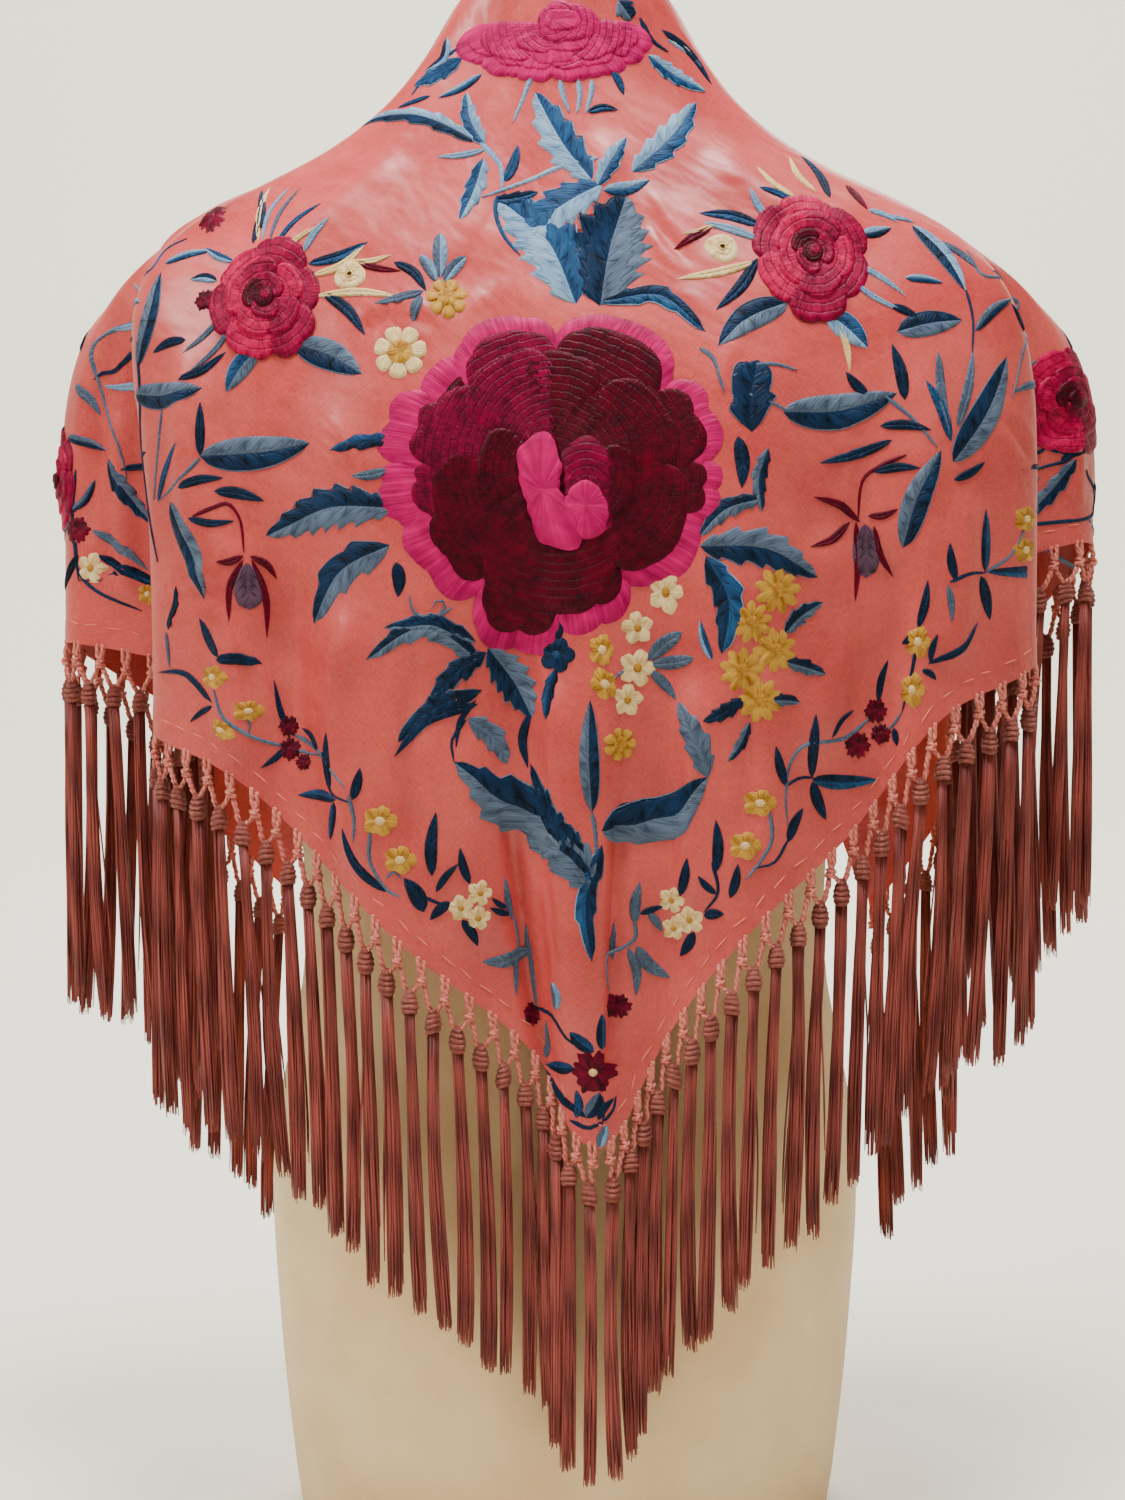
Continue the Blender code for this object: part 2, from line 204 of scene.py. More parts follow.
def join_as(name: str, things: Sequence[bpy.types.Object]) -> bpy.types.Object:
    """Joins several objects to one piece.

    Args:
        name: the piece's name.
        things: the objects, the first of which stays.

    Returns:
        The joined piece.
    """
    deselect_everything()
    for thing in things:
        thing.select_set(True)
    bpy.context.view_layer.objects.active = things[0]
    bpy.ops.object.join()
    things[0].name = things[0].data.name = name
    return things[0]


def face_outwards(thing: bpy.types.Object, merge: float = 1e-6) -> None:
    """Merges a piece's doubles and turns its faces outwards, as after a spin or a mirror.

    Args:
        thing: the piece.
        merge: how near points are merged, in metres.
    """
    make_active(thing)
    bpy.ops.object.mode_set(mode="EDIT")
    bpy.ops.mesh.select_all(action="SELECT")
    bpy.ops.mesh.remove_doubles(threshold=merge)
    bpy.ops.mesh.normals_make_consistent(inside=False)
    bpy.ops.object.mode_set(mode="OBJECT")


def link_piece(name: str, mesh: bpy.types.Mesh) -> bpy.types.Object:
    """Puts a mesh in the scene as an object of that name."""
    piece = bpy.data.objects.new(name, mesh)
    bpy.context.scene.collection.objects.link(piece)
    return piece


def map_points(mesh: bpy.types.Mesh, name: str, places: np.ndarray) -> None:
    """Gives a mesh a UV map.

    Args:
        mesh: the mesh.
        name: the map's name.
        places: where each of the mesh's points lies on the map.
    """
    layer = mesh.uv_layers.new(name=name)
    picked = np.empty(len(mesh.loops), dtype=np.int32)
    mesh.loops.foreach_get("vertex_index", picked)
    layer.data.foreach_set("uv", places[picked].astype(np.float32).ravel())


# ---- finishes -------------------------------------------------------------------------------------
class Wiring:
    """Adds nodes to one material or node group and joins them."""

    def __init__(self, tree: bpy.types.NodeTree) -> None:
        """Takes the tree that is worked on."""
        self.tree = tree

    def node(self, kind: str, **settings: object) -> bpy.types.Node:
        """Adds a node and sets its named properties."""
        made = self.tree.nodes.new(kind)
        for name, value in settings.items():
            setattr(made, name, value)
        return made

    def feed(self, value: Fed, socket: Socket) -> None:
        """Joins another socket to this one, or sets its value."""
        if isinstance(value, Socket):
            self.tree.links.new(value, socket)
        else:
            socket.default_value = value

    def maths(self, operation: str, *values: Fed) -> Socket:
        """A Math node of the given operation on sockets or numbers."""
        made = self.node("ShaderNodeMath", operation=operation)
        for value, socket in zip(values, made.inputs):
            self.feed(value, socket)
        return made.outputs[0]

    def weighed(self, *parts: tuple[Fed, float]) -> Socket:
        """The sum of several values, each times its weight."""
        total = None
        for value, weight in parts:
            part = self.maths("MULTIPLY", value, weight)
            total = part if total is None else self.maths("ADD", total, part)
        return total

    def stretch(self, value: Fed, low: float, high: float, to_low: float = 0.0, to_high: float = 1.0) -> Socket:
        """Maps one range of a value on another, held at both ends."""
        made = self.node("ShaderNodeMapRange")
        for given, socket in zip((value, low, high, to_low, to_high), made.inputs):
            self.feed(given, socket)
        return made.outputs[0]

    def blend(self, share: Fed, low: Fed, high: Fed) -> Socket:
        """A mix of two colours."""
        made = self.node("ShaderNodeMix", data_type="RGBA")
        for given, number in ((share, 0), (low, 6), (high, 7)):
            self.feed(given, made.inputs[number])
        return made.outputs[2]

    def noise(self, vector: Socket, scale: float, detail: float, flat: bool = False) -> Socket:
        """A noise texture's value."""
        made = self.node("ShaderNodeTexNoise", noise_dimensions="2D" if flat else "3D")
        self.feed(vector, made.inputs["Vector"])
        made.inputs["Scale"].default_value = scale
        made.inputs["Detail"].default_value = detail
        return made.outputs["Fac"]

    def split(self, vector: Socket) -> tuple[Socket, Socket]:
        """The X and Y of a vector."""
        made = self.node("ShaderNodeSeparateXYZ")
        self.feed(vector, made.inputs[0])
        return made.outputs[0], made.outputs[1]

    def pair(self, x: Fed, y: Fed) -> Socket:
        """A vector of an X and a Y."""
        made = self.node("ShaderNodeCombineXYZ")
        self.feed(x, made.inputs[0])
        self.feed(y, made.inputs[1])
        return made.outputs[0]

    def grain(self, x: Socket, x_scale: float, y: Socket, y_scale: float) -> Socket:
        """Noise on an X and a Y that are scaled on their own, which draws it out one way."""
        scaled = self.pair(self.maths("MULTIPLY", x, x_scale), self.maths("MULTIPLY", y, y_scale))
        return self.noise(scaled, 1.0, 1.0, flat=True)


@dataclass
class Effects:
    """The shader node groups that the finishes share, each built once."""

    groups: dict[str, bpy.types.NodeTree] = field(default_factory=dict)

    def build(self) -> None:
        """Builds every group."""
        self.laid_thread()
        self.silk_ground()
        self.cord_twist()
        self.soft_mottle()

    def start(
        self, name: str, numbers: Sequence[str], gives: Sequence[str]
    ) -> tuple[Wiring, dict[str, Socket], dict[str, Socket]]:
        """Starts a shader node group that takes a vector and some numbers.

        Args:
            name: the group's name.
            numbers: the names of the numbers that it takes.
            gives: the names of its outputs, which are all values.

        Returns:
            Its wiring, what it is given by name, and what it has to be fed by name.
        """
        tree = self.groups[name] = bpy.data.node_groups.new(name, "ShaderNodeTree")
        takes = ("Vector", *numbers)
        for title in takes:
            kind = "NodeSocketVector" if title == "Vector" else "NodeSocketFloat"
            tree.interface.new_socket(title, in_out="INPUT", socket_type=kind)
        for title in gives:
            tree.interface.new_socket(title, in_out="OUTPUT", socket_type="NodeSocketFloat")
        wiring = Wiring(tree)
        inside = wiring.node("NodeGroupInput").outputs
        outside = wiring.node("NodeGroupOutput").inputs
        return wiring, {title: inside[title] for title in takes}, {title: outside[title] for title in gives}

    def laid_thread(self) -> None:
        """Threads laid side by side: X of the vector goes across them and Y along them."""
        wiring, given, wanted = self.start(
            "laid_thread", ("Thread Width", "Row Length", "Wander"), ("Height", "Tone", "Rows")
        )
        x, y = wiring.split(given["Vector"])
        across = wiring.maths("DIVIDE", x, given["Thread Width"])
        along = wiring.maths("DIVIDE", y, given["Row Length"])
        strands = wiring.noise(wiring.pair(across, along), 1.0, 2.0, flat=True)
        bundles = wiring.grain(across, 0.21, along, 0.8)
        shifted = wiring.maths("ADD", along, wiring.maths("MULTIPLY", bundles, given["Wander"]))
        rows = wiring.maths("PINGPONG", shifted, 0.5)
        ridged = wiring.stretch(rows, 0.0, 0.16, 0.0, 0.5)
        wiring.feed(wiring.maths("ADD", wiring.maths("MULTIPLY", strands, 0.7), ridged), wanted["Height"])
        wiring.feed(wiring.weighed((strands, 0.55), (bundles, 0.45)), wanted["Tone"])
        wiring.feed(rows, wanted["Rows"])

    def silk_ground(self) -> None:
        """The fine pebbled ground of silk crepe, with its two directions of yarn."""
        wiring, given, wanted = self.start("silk_ground", ("Yarn Width",), ("Height", "Tone"))
        x, y = wiring.split(given["Vector"])
        warp = wiring.maths("DIVIDE", x, given["Yarn Width"])
        weft = wiring.maths("DIVIDE", y, given["Yarn Width"])
        slubs = wiring.grain(warp, 0.9, weft, 0.12)
        picks = wiring.grain(warp, 0.12, weft, 0.9)
        pebbles = wiring.noise(wiring.pair(warp, weft), 0.6, 1.0, flat=True)
        wiring.feed(wiring.weighed((slubs, 0.4), (picks, 0.4), (pebbles, 0.3)), wanted["Height"])
        wiring.feed(wiring.maths("MULTIPLY", wiring.maths("ADD", slubs, picks), 0.5), wanted["Tone"])

    def cord_twist(self) -> None:
        """The slanting strands of a twisted cord: X of the vector goes once round it, Y along it."""
        wiring, given, wanted = self.start("cord_twist", ("Twist Length", "Strands"), ("Height",))
        x, y = wiring.split(given["Vector"])
        turns = wiring.maths("MULTIPLY", x, given["Strands"])
        travel = wiring.maths("DIVIDE", y, given["Twist Length"])
        place = wiring.maths("MULTIPLY", wiring.maths("ADD", turns, travel), math.tau)
        wave = wiring.maths("ABSOLUTE", wiring.maths("SINE", wiring.maths("MULTIPLY", place, 0.5)))
        wiring.feed(wave, wanted["Height"])

    def soft_mottle(self) -> None:
        """Slow unevenness of dye, handling and light wear over the whole piece."""
        wiring, given, wanted = self.start("soft_mottle", ("Patch Size",), ("Tone",))
        scaled = wiring.node("ShaderNodeVectorMath", operation="SCALE")
        wiring.feed(given["Vector"], scaled.inputs[0])
        wiring.feed(wiring.maths("DIVIDE", 1.0, given["Patch Size"]), scaled.inputs["Scale"])
        wiring.feed(wiring.noise(scaled.outputs[0], 1.0, 3.0), wanted["Tone"])

    def place(self, wiring: Wiring, name: str, **values: Fed) -> bpy.types.Node:
        """Places a group in a material.

        Args:
            wiring: the material's wiring.
            name: the group's name.
            **values: what its inputs are fed, named with _ for spaces.

        Returns:
            The group's node.
        """
        made = wiring.node("ShaderNodeGroup", node_tree=self.groups[name])
        for title, value in values.items():
            wiring.feed(value, made.inputs[title.replace("_", " ").title()])
        return made

    def mottle(self, wiring: Wiring, vector: Socket, patch_size: float) -> Socket:
        """The soft mottle's tone, with patches of about that size in metres."""
        return self.place(wiring, "soft_mottle", vector=vector, patch_size=patch_size).outputs["Tone"]


EFFECTS = Effects()


class Look(NamedTuple):
    """A material under construction: the material, its wiring and its shader."""

    material: bpy.types.Material
    wiring: Wiring
    shader: bpy.types.Node

    def colour(self, share: Socket, deep: Fed, light: Fed) -> None:
        """Colours the shader with a mix of two colours."""
        self.wiring.feed(self.wiring.blend(share, deep, light), self.shader.inputs["Base Color"])

    def roughen(self, wear: Socket, low: float, high: float) -> None:
        """Lets the shader's roughness go from one value to another with an even mask."""
        self.wiring.feed(self.wiring.stretch(wear, 0.3, 0.7, low, high), self.shader.inputs["Roughness"])

    def relief(self, height: Socket, depth: float) -> None:
        """Feeds a height to the shader's normal through a Bump node.

        Args:
            height: the height, from 0 to about 1.
            depth: what 1 stands for, in metres.
        """
        bump = self.wiring.node("ShaderNodeBump")
        bump.inputs["Strength"].default_value = 1.0
        bump.inputs["Distance"].default_value = depth
        self.wiring.feed(height, bump.inputs["Height"])
        self.wiring.feed(bump.outputs[0], self.shader.inputs["Normal"])


def start_look(name: str, roughness: float, sheen: float, sheen_tint: Colour, gloss: float = 0.35) -> Look:
    """Starts a material whose constant values are set on its shader's own sockets.

    Args:
        name: the material's name.
        roughness: its plain roughness, until something is joined to it.
        sheen: how much soft edge light the fibres give.
        sheen_tint: the colour of that light.
        gloss: its mirror-like share, where 0.5 is a plain varnish.

    Returns:
        The material, its wiring and its Principled shader.
    """
    made = bpy.data.materials.new(name)
    made.use_nodes = True
    shader = made.node_tree.nodes["Principled BSDF"]
    shader.inputs["Roughness"].default_value = roughness
    shader.inputs["Specular IOR Level"].default_value = gloss
    shader.inputs["Sheen Weight"].default_value = sheen
    shader.inputs["Sheen Roughness"].default_value = 0.4
    shader.inputs["Sheen Tint"].default_value = sheen_tint
    return Look(made, Wiring(made.node_tree), shader)


@dataclass(frozen=True)
class SilkCrepe:
    """The coral silk of the shawl."""

    name: str = "coral_silk_crepe"
    deep: Colour = paint(164, 46, 45)
    light: Colour = paint(206, 82, 78)
    edge_light: Colour = paint(255, 190, 176)
    yarn_width: float = 0.0005
    pebble_depth: float = 0.00006
    mottle_size: float = 0.05
    rumple_size: float = 0.030
    rumple_depth: float = 0.0036
    pull_turn: float = math.radians(38)
    pull_stretch: float = 0.45
    roughness: float = 0.37
    sheen: float = 0.05
    gloss: float = 0.45

    def build(self) -> bpy.types.Material:
        """Builds the material on the cloth's flat map."""
        look = start_look(self.name, self.roughness, self.sheen, self.edge_light, self.gloss)
        wiring = look.wiring
        flat = wiring.node("ShaderNodeUVMap", uv_map="flat").outputs[0]
        ground = EFFECTS.place(wiring, "silk_ground", vector=flat, yarn_width=self.yarn_width).outputs
        mottle = EFFECTS.mottle(wiring, flat, self.mottle_size)
        share = wiring.stretch(wiring.weighed((ground["Tone"], 0.5), (mottle, 0.6)), 0.35, 0.75)
        look.colour(share, self.deep, self.light)
        look.roughen(mottle, self.roughness - 0.05, self.roughness + 0.08)
        pulled = wiring.node("ShaderNodeMapping")
        pulled.inputs["Rotation"].default_value = (0.0, 0.0, self.pull_turn)
        pulled.inputs["Scale"].default_value = (1.0, self.pull_stretch, 1.0)
        wiring.feed(flat, pulled.inputs["Vector"])
        rumple = EFFECTS.mottle(wiring, pulled.outputs[0], self.rumple_size)
        pebbled = wiring.maths("MULTIPLY", ground["Height"], self.pebble_depth / self.rumple_depth)
        look.relief(wiring.maths("ADD", rumple, pebbled), self.rumple_depth)
        return look.material


@dataclass(frozen=True)
class Floss:
    """Embroidery silk of one colour, laid in long side-by-side stitches."""

    name: str
    deep: Colour
    light: Colour
    thread_width: float = 0.0007
    row_length: float = 0.012
    wander: float = 1.6
    row_shade: float = 0.3
    roughness: float = 0.4
    sheen: float = 0.01
    gloss: float = 0.1
    mottle_size: float = 0.016
    thread_depth: float = 0.0004

    def build(self) -> bpy.types.Material:
        """Builds the material on the piece's thread map."""
        look = start_look(self.name, self.roughness, self.sheen, self.light, self.gloss)
        wiring = look.wiring
        threads = wiring.node("ShaderNodeUVMap", uv_map="threads").outputs[0]
        laid = EFFECTS.place(
            wiring, "laid_thread", vector=threads,
            thread_width=self.thread_width, row_length=self.row_length, wander=self.wander,
        ).outputs
        tone = wiring.weighed((laid["Tone"], 0.5), (EFFECTS.mottle(wiring, threads, self.mottle_size), 0.5))
        # The grooves between rows of stitches are darkened in the colour by row_shade: painted shade.
        rows = wiring.stretch(laid["Rows"], 0.0, 0.14, self.row_shade, 0.0)
        share = wiring.maths("SUBTRACT", wiring.stretch(tone, 0.34, 0.66), rows)
        look.colour(wiring.stretch(share, 0.0, 1.0), self.deep, self.light)
        look.roughen(tone, self.roughness + 0.12, self.roughness - 0.04)
        look.relief(laid["Height"], self.thread_depth)
        return look.material


@dataclass(frozen=True)
class FringeSilk:
    """The dusty rose silk of the tassels and the knotted net."""

    name: str
    deep: Colour
    light: Colour
    twist_length: float
    strands: float
    relief: float
    streak: float
    roughness: float = 0.45
    sheen: float = 0.08
    gloss: float = 0.3
    thread_size: float = 0.0016
    wear_size: float = 0.012

    def build(self) -> bpy.types.Material:
        """Builds the material on the cord map, whose X goes once round and whose Y is metres along."""
        look = start_look(self.name, self.roughness, self.sheen, self.light, self.gloss)
        wiring = look.wiring
        cord = wiring.node("ShaderNodeUVMap", uv_map="threads").outputs[0]
        twist = EFFECTS.place(
            wiring, "cord_twist", vector=cord, twist_length=self.twist_length, strands=self.strands
        ).outputs["Height"]
        drawn = wiring.node("ShaderNodeMapping")
        drawn.inputs["Scale"].default_value = (1.0, 1.0, self.streak)
        wiring.feed(wiring.node("ShaderNodeTexCoord").outputs["Object"], drawn.inputs["Vector"])
        fine = EFFECTS.mottle(wiring, drawn.outputs[0], self.thread_size)
        worn = EFFECTS.mottle(wiring, drawn.outputs[0], self.wear_size)
        streaks = wiring.weighed((fine, 0.7), (worn, 0.3))
        # The twist's height is mixed into the colour too, so the grooves between the strands are darker: painted
        # shade.
        share = wiring.stretch(wiring.weighed((twist, 0.25), (streaks, 0.9)), 0.38, 0.88)
        look.colour(share, self.deep, self.light)
        look.roughen(fine, self.roughness + 0.1, self.roughness - 0.05)
        look.relief(twist, self.relief)
        return look.material


@dataclass(frozen=True)
class StretchJersey:
    """The smooth pale cover of the dress form."""

    name: str = "form_cover_jersey"
    deep: Colour = paint(214, 176, 126)
    light: Colour = paint(234, 204, 156)
    edge_light: Colour = paint(255, 240, 220)
    mottle_size: float = 0.07
    rib_width: float = 0.0011
    rib_depth: float = 0.00008
    roughness: float = 0.5
    sheen: float = 0.15

    def build(self) -> bpy.types.Material:
        """Builds the material on object coordinates."""
        look = start_look(self.name, self.roughness, self.sheen, self.edge_light)
        wiring = look.wiring
        where = wiring.node("ShaderNodeTexCoord").outputs["Object"]
        mottle = EFFECTS.mottle(wiring, where, self.mottle_size)
        fibres = EFFECTS.mottle(wiring, where, self.rib_width)
        share = wiring.stretch(wiring.weighed((mottle, 0.8), (fibres, 0.2)), 0.35, 0.68)
        look.colour(share, self.deep, self.light)
        look.roughen(mottle, self.roughness - 0.04, self.roughness + 0.06)
        look.relief(fibres, self.rib_depth)
        return look.material


@dataclass(frozen=True)
class StudioPaper:
    """The pale matt floor and surround, which looks lit from behind but lights little itself."""

    name: str = "studio_paper"
    colour: Colour = paint(247, 243, 227)
    roughness: float = 0.85
    mottle_size: float = 1.2
    shade: float = 0.96
    glow: float = 0.38
    cast_share: float = 0.25

    def dimmed(self, share: float) -> Colour:
        """The paper's colour with that share of its brightness."""
        return tuple(channel * share for channel in self.colour[:3]) + (1.0,)

    def build(self) -> bpy.types.Material:
        """Builds the material with a faint unevenness."""
        look = start_look(self.name, self.roughness, 0.0, (1.0, 1.0, 1.0, 1.0))
        wiring = look.wiring
        where = wiring.node("ShaderNodeTexCoord").outputs["Object"]
        tone = wiring.blend(EFFECTS.mottle(wiring, where, self.mottle_size), self.dimmed(self.shade), self.colour)
        wiring.feed(tone, look.shader.inputs["Base Color"])
        seen = wiring.node("ShaderNodeLightPath").outputs["Is Camera Ray"]
        wiring.feed(wiring.blend(seen, self.dimmed(self.cast_share), tone), look.shader.inputs["Emission Color"])
        look.shader.inputs["Emission Strength"].default_value = self.glow
        return look.material


# ---- camera, lights and stage ---------------------------------------------------------------------
@dataclass(frozen=True)
class CameraStand:
    """The camera behind the shawl, and the way from the photograph's pixels into the scene."""

    wide: int = 1125
    high: int = 1500
    distance: float = 1.40
    view_height: float = 0.75
    aim: tuple[float, float, float] = (-0.00125, -0.120, 0.425)
    pitch: float = math.radians(5.0)

    def axes(self) -> tuple[Vector, Vector, Vector]:
        """The camera's right, up and forward directions."""
        forward = Vector((0.0, math.cos(self.pitch), -math.sin(self.pitch)))
        up = Vector((0.0, math.sin(self.pitch), math.cos(self.pitch)))
        return Vector((1.0, 0.0, 0.0)), up, forward

    def eye(self) -> Vector:
        """Where the camera stands."""
        return Vector(self.aim) - self.axes()[2] * self.distance

    def ray(self, across: float, down: float) -> tuple[Vector, Vector]:
        """The line of sight through a pixel.

        Args:
            across: the pixel's place from the left.
            down: its place from the top.

        Returns:
            Where the line starts and its direction.
        """
        right, up, forward = self.axes()
        scale = self.view_height / self.high / self.distance
        way = forward + right * ((across - self.wide / 2) * scale) + up * ((self.high / 2 - down) * scale)
        return self.eye(), way.normalized()

    def build(self) -> None:
        """Makes the camera and gives it to the scene."""
        data = bpy.data.cameras.new("studio_camera")
        data.sensor_width = 36.0
        data.lens = 36.0 * self.distance / self.view_height
        camera = bpy.data.objects.new("studio_camera", data)
        camera.location = self.eye()
        camera.rotation_euler = (math.pi / 2 - self.pitch, 0.0, 0.0)
        bpy.context.scene.collection.objects.link(camera)
        bpy.context.scene.camera = camera


class Lamp(NamedTuple):
    """One soft area light: its place, what it points at, its side in metres, power and warmth."""

    name: str
    place: tuple[float, float, float]
    aim: tuple[float, float, float]
    size: float
    power: float
    colour: tuple[float, float, float]


@dataclass
class Studio:
    """The pale floor that curves up all round, the lights and the sky."""

    lamps: tuple[Lamp, ...] = (
        Lamp("key", (-1.40, -0.66, 1.70), (0.0, -0.1, 0.5), 0.5, 27.0, (1.0, 0.98, 0.95)),
        Lamp("fill", (2.2, -1.8, 2.0), (0.0, 0.0, 0.5), 1.8, 5.0, (1.0, 0.99, 0.97)),
        Lamp("top", (0.1, -0.35, 1.95), (0.0, 0.0, 0.65), 0.7, 42.0, (1.0, 1.0, 1.0)),
        Lamp("front_side", (0.6, 2.6, 2.2), (0.0, 0.5, 0.3), 2.0, 24.0, (1.0, 0.99, 0.97)),
        Lamp("wall", (0.0, 2.2, 3.4), (0.0, 4.2, 0.2), 2.4, 190.0, (1.0, 0.99, 0.96)),
        Lamp("near_wall", (0.0, -2.6, 3.4), (0.0, -5.2, 0.6), 2.4, 20.0, (1.0, 0.99, 0.96)),
    )
    floor_radius: float = 5.2
    flat_share: float = 0.6
    bowl_share: float = 0.55
    bowl_steps: int = 12
    sky: Colour = paint(238, 234, 226)
    sky_strength: float = 0.13

    def build_floor(self, paper: bpy.types.Material) -> None:
        """Extrudes a disc's rim up into a wide bowl, so that no view shows an edge.

        Args:
            paper: the floor's finish.
        """
        deselect_everything()
        radius, height = self.floor_radius * self.flat_share, 0.0
        bpy.ops.mesh.primitive_circle_add(vertices=96, radius=radius, fill_type="NGON", location=(0, 0, 0))
        floor = bpy.context.object
        bpy.ops.object.mode_set(mode="EDIT")
        bpy.ops.mesh.select_all(action="SELECT")
        bpy.ops.mesh.inset(thickness=self.floor_radius * 0.2)
        bpy.ops.mesh.select_all(action="DESELECT")
        bpy.ops.object.mode_set(mode="OBJECT")
        rim = max(point.co.length for point in floor.data.vertices) - 1e-4
        for edge in floor.data.edges:
            edge.select = all(floor.data.vertices[k].co.length > rim for k in edge.vertices)
        bpy.ops.object.mode_set(mode="EDIT")
        bpy.ops.mesh.select_mode(type="EDGE")
        for step in range(1, self.bowl_steps + 1):
            turn = math.radians(90 * step / self.bowl_steps)
            wider = self.floor_radius * (self.flat_share + (1 - self.flat_share) * math.sin(turn))
            higher = self.floor_radius * self.bowl_share * (1 - math.cos(turn))
            bpy.ops.mesh.extrude_region_move(TRANSFORM_OT_translate={"value": (0, 0, higher - height)})
            bpy.ops.transform.resize(value=(wider / radius, wider / radius, 1.0), center_override=(0, 0, higher))
            radius, height = wider, higher
        bpy.ops.object.mode_set(mode="OBJECT")
        bpy.ops.object.shade_smooth()
        floor.name = floor.data.name = "studio_floor"
        floor.data.materials.append(paper)

    def build_lights(self) -> None:
        """Makes the area lights and the sky."""
        for lamp in self.lamps:
            data = bpy.data.lights.new("light_" + lamp.name, "AREA")
            data.shape = "DISK"
            data.size = lamp.size
            data.energy = lamp.power
            data.color = lamp.colour
            light = bpy.data.objects.new("light_" + lamp.name, data)
            light.location = lamp.place
            light.rotation_euler = (Vector(lamp.aim) - Vector(lamp.place)).to_track_quat("-Z", "Y").to_euler()
            bpy.context.scene.collection.objects.link(light)
        world = bpy.data.worlds.new("studio_sky")
        world.use_nodes = True
        sky = world.node_tree.nodes["Background"]
        sky.inputs["Color"].default_value = self.sky
        sky.inputs["Strength"].default_value = self.sky_strength
        bpy.context.scene.world = world


# ---- dress form -----------------------------------------------------------------------------------
class Ring(NamedTuple):
    """One oval ring of the dress form: height, half width, half depth and its centre along Y."""

    name: str
    z: float
    half_width: float
    half_depth: float
    centre_y: float


